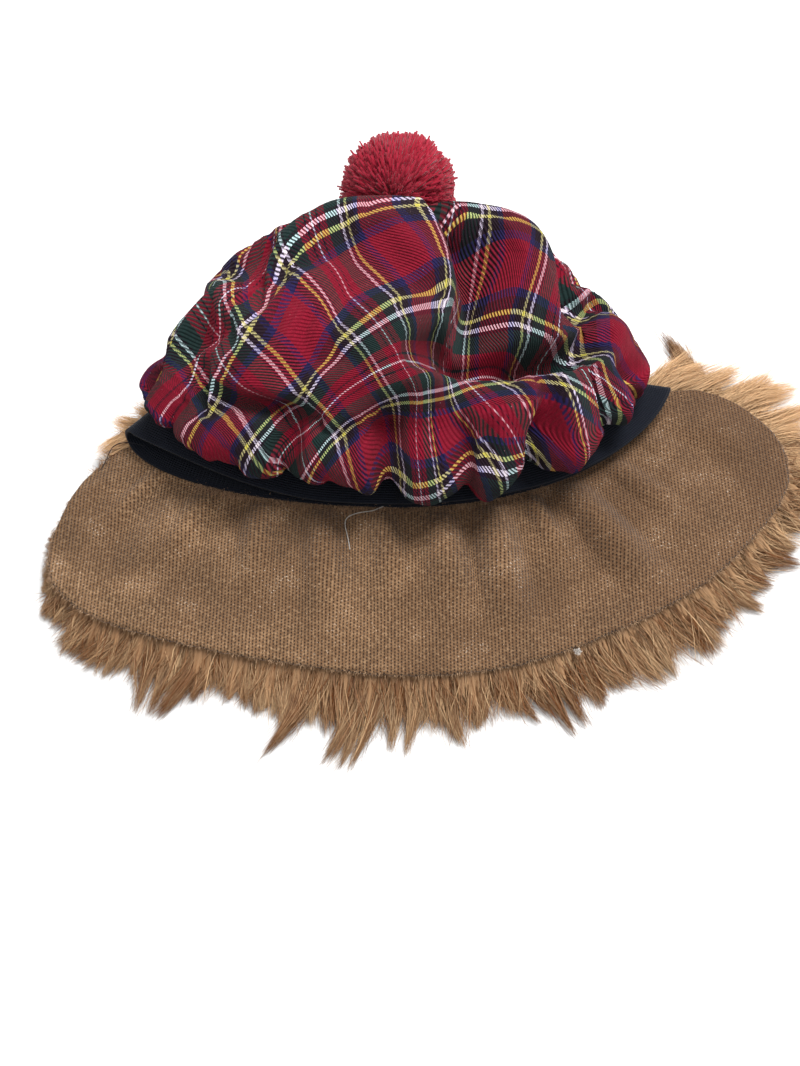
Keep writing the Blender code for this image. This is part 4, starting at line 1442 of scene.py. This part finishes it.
# Pompom
def pompom_strands(middle, draw):
    """Middle lines of the yarn ends, swept from a knot, and how open to the light each one is."""
    radius = POMPOM_LOOKS_RADIUS
    knot_way = unit(np.array(POMPOM_KNOT))
    level = 1 - 2 * (np.arange(STRANDS) + 0.5) / STRANDS
    ring = np.sqrt(1 - level ** 2)
    spin = math.pi * (3 - math.sqrt(5)) * np.arange(STRANDS)
    axis = np.column_stack([ring * np.cos(spin), ring * np.sin(spin), level])
    axis = unit(axis + draw.normal(0, STRAND_STRAY, axis.shape))
    lobes = 1 + POMPOM_LUMPS * np.array([noise.noise(Vector(a) * 2.2 + Vector((4, 1, 7))) for a in axis])
    reach = radius * lobes * draw.uniform(*STRAND_REACHES, STRANDS)
    knot = middle + knot_way * radius * POMPOM_KNOT_DEPTH
    tip = middle + axis * reach[:, None]
    t = np.linspace(STRAND_START, 1.0, len(STRAND_RADII))
    lines = knot + (tip - knot)[:, None] * t[None, :, None]
    bulge = np.sin(t * math.pi)[None, :, None] * axis[:, None] * radius * STRAND_BULGE
    bend = draw.normal(0, STRAND_BEND, axis.shape)
    # they lean over each other, away from the knot
    from_knot = axis - knot_way
    far = np.linalg.norm(from_knot, axis=1, keepdims=True)
    lean = unit(from_knot - axis * np.sum(from_knot * axis, axis=1, keepdims=True)) * POMPOM_SWEEP
    lean = lean * np.clip(far / 0.5, 0, 1)
    back = lean[:, None] * ((t - STRAND_START) / (1 - STRAND_START) - 1)[None, :, None] * radius * 0.42
    lines = lines + bulge + back
    lines = lines + (bend[:, None] * ((t - STRAND_START) ** 2)[None, :, None]) * radius * 2.2
    # the side by the knot lies in the shade of the rest
    open_air = np.clip(0.36 + 0.42 * far[:, 0], 0.4, 0.98)[:, None, None]
    return lines, open_air


def make_yarn(lines, open_air, material, draw):
    """The yarn ends as tubes that swell and close again."""
    points = len(STRAND_RADII)
    along = unit(lines[:, -1] - lines[:, -2])
    first = unit(np.cross(along, along[:, [1, 2, 0]]))
    second = np.cross(along, first)
    angle = np.linspace(0, 2 * math.pi, STRAND_SIDES, endpoint=False)
    spoke = (first[:, None, None] * np.cos(angle)[None, None, :, None]
             + second[:, None, None] * np.sin(angle)[None, None, :, None])
    tube = lines[:, :, None] + spoke * np.array(STRAND_RADII)[None, :, None, None]
    starts = np.arange(STRANDS) * points * STRAND_SIDES
    faces = grid_faces(points, STRAND_SIDES, True)[None] + starts[:, None, None]
    caps = np.arange((points - 1) * STRAND_SIDES, points * STRAND_SIDES)[None] + starts[:, None]
    mix = draw.uniform(0, 1, STRANDS)[:, None, None]
    t = np.linspace(STRAND_START, 1.0, points)
    # painted shade: each strand darkens towards the knot, deep inside the pompom
    fade = np.clip((t - STRAND_START) / 0.45, 0, 1)[None, :, None]
    tint = YARN_SHADE * (1 - fade) + (YARN_RED * (1 - mix) + YARN_LIT * mix) * fade
    tints = np.repeat((tint * open_air)[:, :, None], STRAND_SIDES, axis=2).reshape(-1, 3)
    tube = tube.reshape(-1, 3)
    tube[:, 2] = np.maximum(tube[:, 2], LOWEST_YARN)
    return mesh_object("pompom_yarn", tube, faces.reshape(-1, 4).tolist() + caps.tolist(), material,
                       tints=tints)


def make_frayed(lines, open_air, middle, material, draw):
    """Fine fibres along the yarn ends and at their cut tips."""
    count = FRAYED_FIBRES
    along = unit(lines[:, -1] - lines[:, -2])
    pick = draw.integers(0, STRANDS, count)
    start_at = draw.uniform(1.5, lines.shape[1] - 1.05, count)
    low_at = start_at.astype(int)
    part = (start_at - low_at)[:, None]
    start = lines[pick, low_at] * (1 - part) + lines[pick, low_at + 1] * part
    start = start + draw.normal(0, 0.0007, (count, 3))
    way = unit(along[pick] + draw.normal(0, FRAYED_STRAY, (count, 3)))
    end = start + way * draw.uniform(*FRAYED_LENGTHS, count)[:, None]
    away = end - middle
    far = np.linalg.norm(away, axis=1, keepdims=True)
    limit = POMPOM_LOOKS_RADIUS * draw.uniform(*FRAYED_INSIDE, (count, 1))
    end = middle + away * np.minimum(1, limit / far)
    first = start + (end - start) * 0.3 + draw.normal(0, 0.0003, (count, 3))
    second = start + (end - start) * 0.7 + draw.normal(0, 0.0004, (count, 3))
    paths = bezier(start, first, second, end, FRAYED_POINTS)
    shade = draw.uniform(0, 1, count)[:, None, None]
    tint = (YARN_RED * (1 - shade) + YARN_LIT * shade) * open_air[pick]
    return ribbons("pompom_fray", paths, draw.uniform(*FRAYED_WIDTHS, count),
                   np.repeat(tint, FRAYED_POINTS, axis=1), material, draw)


def make_core(middle, material):
    """A ball inside the yarn, in the dark red of painted shade."""
    lift = np.linspace(0, math.pi, CORE_RINGS + 1)[:, None]
    turn = np.linspace(0, 2 * math.pi, CORE_SPOKES, endpoint=False)
    ball = np.stack([np.sin(lift) * np.cos(turn), np.sin(lift) * np.sin(turn),
                     np.cos(lift) + 0 * turn], axis=-1).reshape(-1, 3)
    points = middle + ball * POMPOM_LOOKS_RADIUS * POMPOM_CORE
    return mesh_object("pompom_core", points, grid_faces(CORE_RINGS + 1, CORE_SPOKES, True), material,
                       tints=np.tile(YARN_SHADE, (len(points), 1)))


def make_pompom():
    low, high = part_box("pompom")
    middle = np.array((low + high) / 2) - SHIFT
    draw = np.random.default_rng(5)
    material = tinted("yarn", 0.88, 0.16, 3000.0)
    lines, open_air = pompom_strands(middle, draw)
    yarn = make_yarn(lines, open_air, material, draw)
    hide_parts("pompom")
    for item in (yarn, make_frayed(lines, open_air, middle, material, draw), make_core(middle, material)):
        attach(item, "root")


# Room, light and camera
def area_light(name, place, size, power):
    light = bpy.data.lights.new(name, "AREA")
    light.size = size
    light.energy = power
    item = bpy.data.objects.new(name, light)
    item.location = Vector(place) + Vector(SHIFT)
    aim = Vector(LIT_MIDDLE) + Vector(SHIFT) - item.location
    item.rotation_euler = aim.to_track_quat("-Z", "Y").to_euler()
    bpy.context.scene.collection.objects.link(item)


def make_room():
    s = Shader("pale_floor", 0.9, specular=0.1)
    s.surface.inputs["Base Color"].default_value = (*FLOOR_COLOUR, 1)
    mesh = bpy.data.meshes.new("floor")
    half = FLOOR_HALF
    mesh.from_pydata([(-half, -half, 0), (half, -half, 0), (half, half, 0), (-half, half, 0)],
                     [], [(0, 1, 2, 3)])
    mesh.materials.append(s.material)
    floor = bpy.data.objects.new("floor", mesh)
    bpy.context.scene.collection.objects.link(floor)
    world = bpy.data.worlds.new("studio")
    world.use_nodes = True
    background = world.node_tree.nodes["Background"]
    background.inputs["Color"].default_value = (1, 1, 1, 1)
    background.inputs["Strength"].default_value = WORLD_LIGHT
    bpy.context.scene.world = world
    for lamp in LAMPS:
        area_light(*lamp)
    bpy.context.scene.view_settings.view_transform = "Standard"


def make_camera():
    target = Vector(CAMERA_TARGET) + Vector(SHIFT)
    forward = Vector((0, math.cos(CAMERA_TILT), -math.sin(CAMERA_TILT)))
    data = bpy.data.cameras.new("camera")
    data.sensor_width = SENSOR
    data.lens = LENS_PIXELS * SENSOR / PHOTO_HEIGHT_PIXELS
    camera = bpy.data.objects.new("camera", data)
    camera.location = target - forward * CAMERA_DISTANCE
    camera.rotation_euler = forward.to_track_quat("-Z", "Y").to_euler()
    bpy.context.scene.collection.objects.link(camera)
    bpy.context.scene.camera = camera


for item in list(bpy.data.objects):
    if item.name in ("Cube", "Light", "Camera"):
        bpy.data.objects.remove(item)
make_camera()
make_room()
make_crown()
make_headband()
make_backing()
make_fur()
make_threads_and_fluff()
make_pompom()
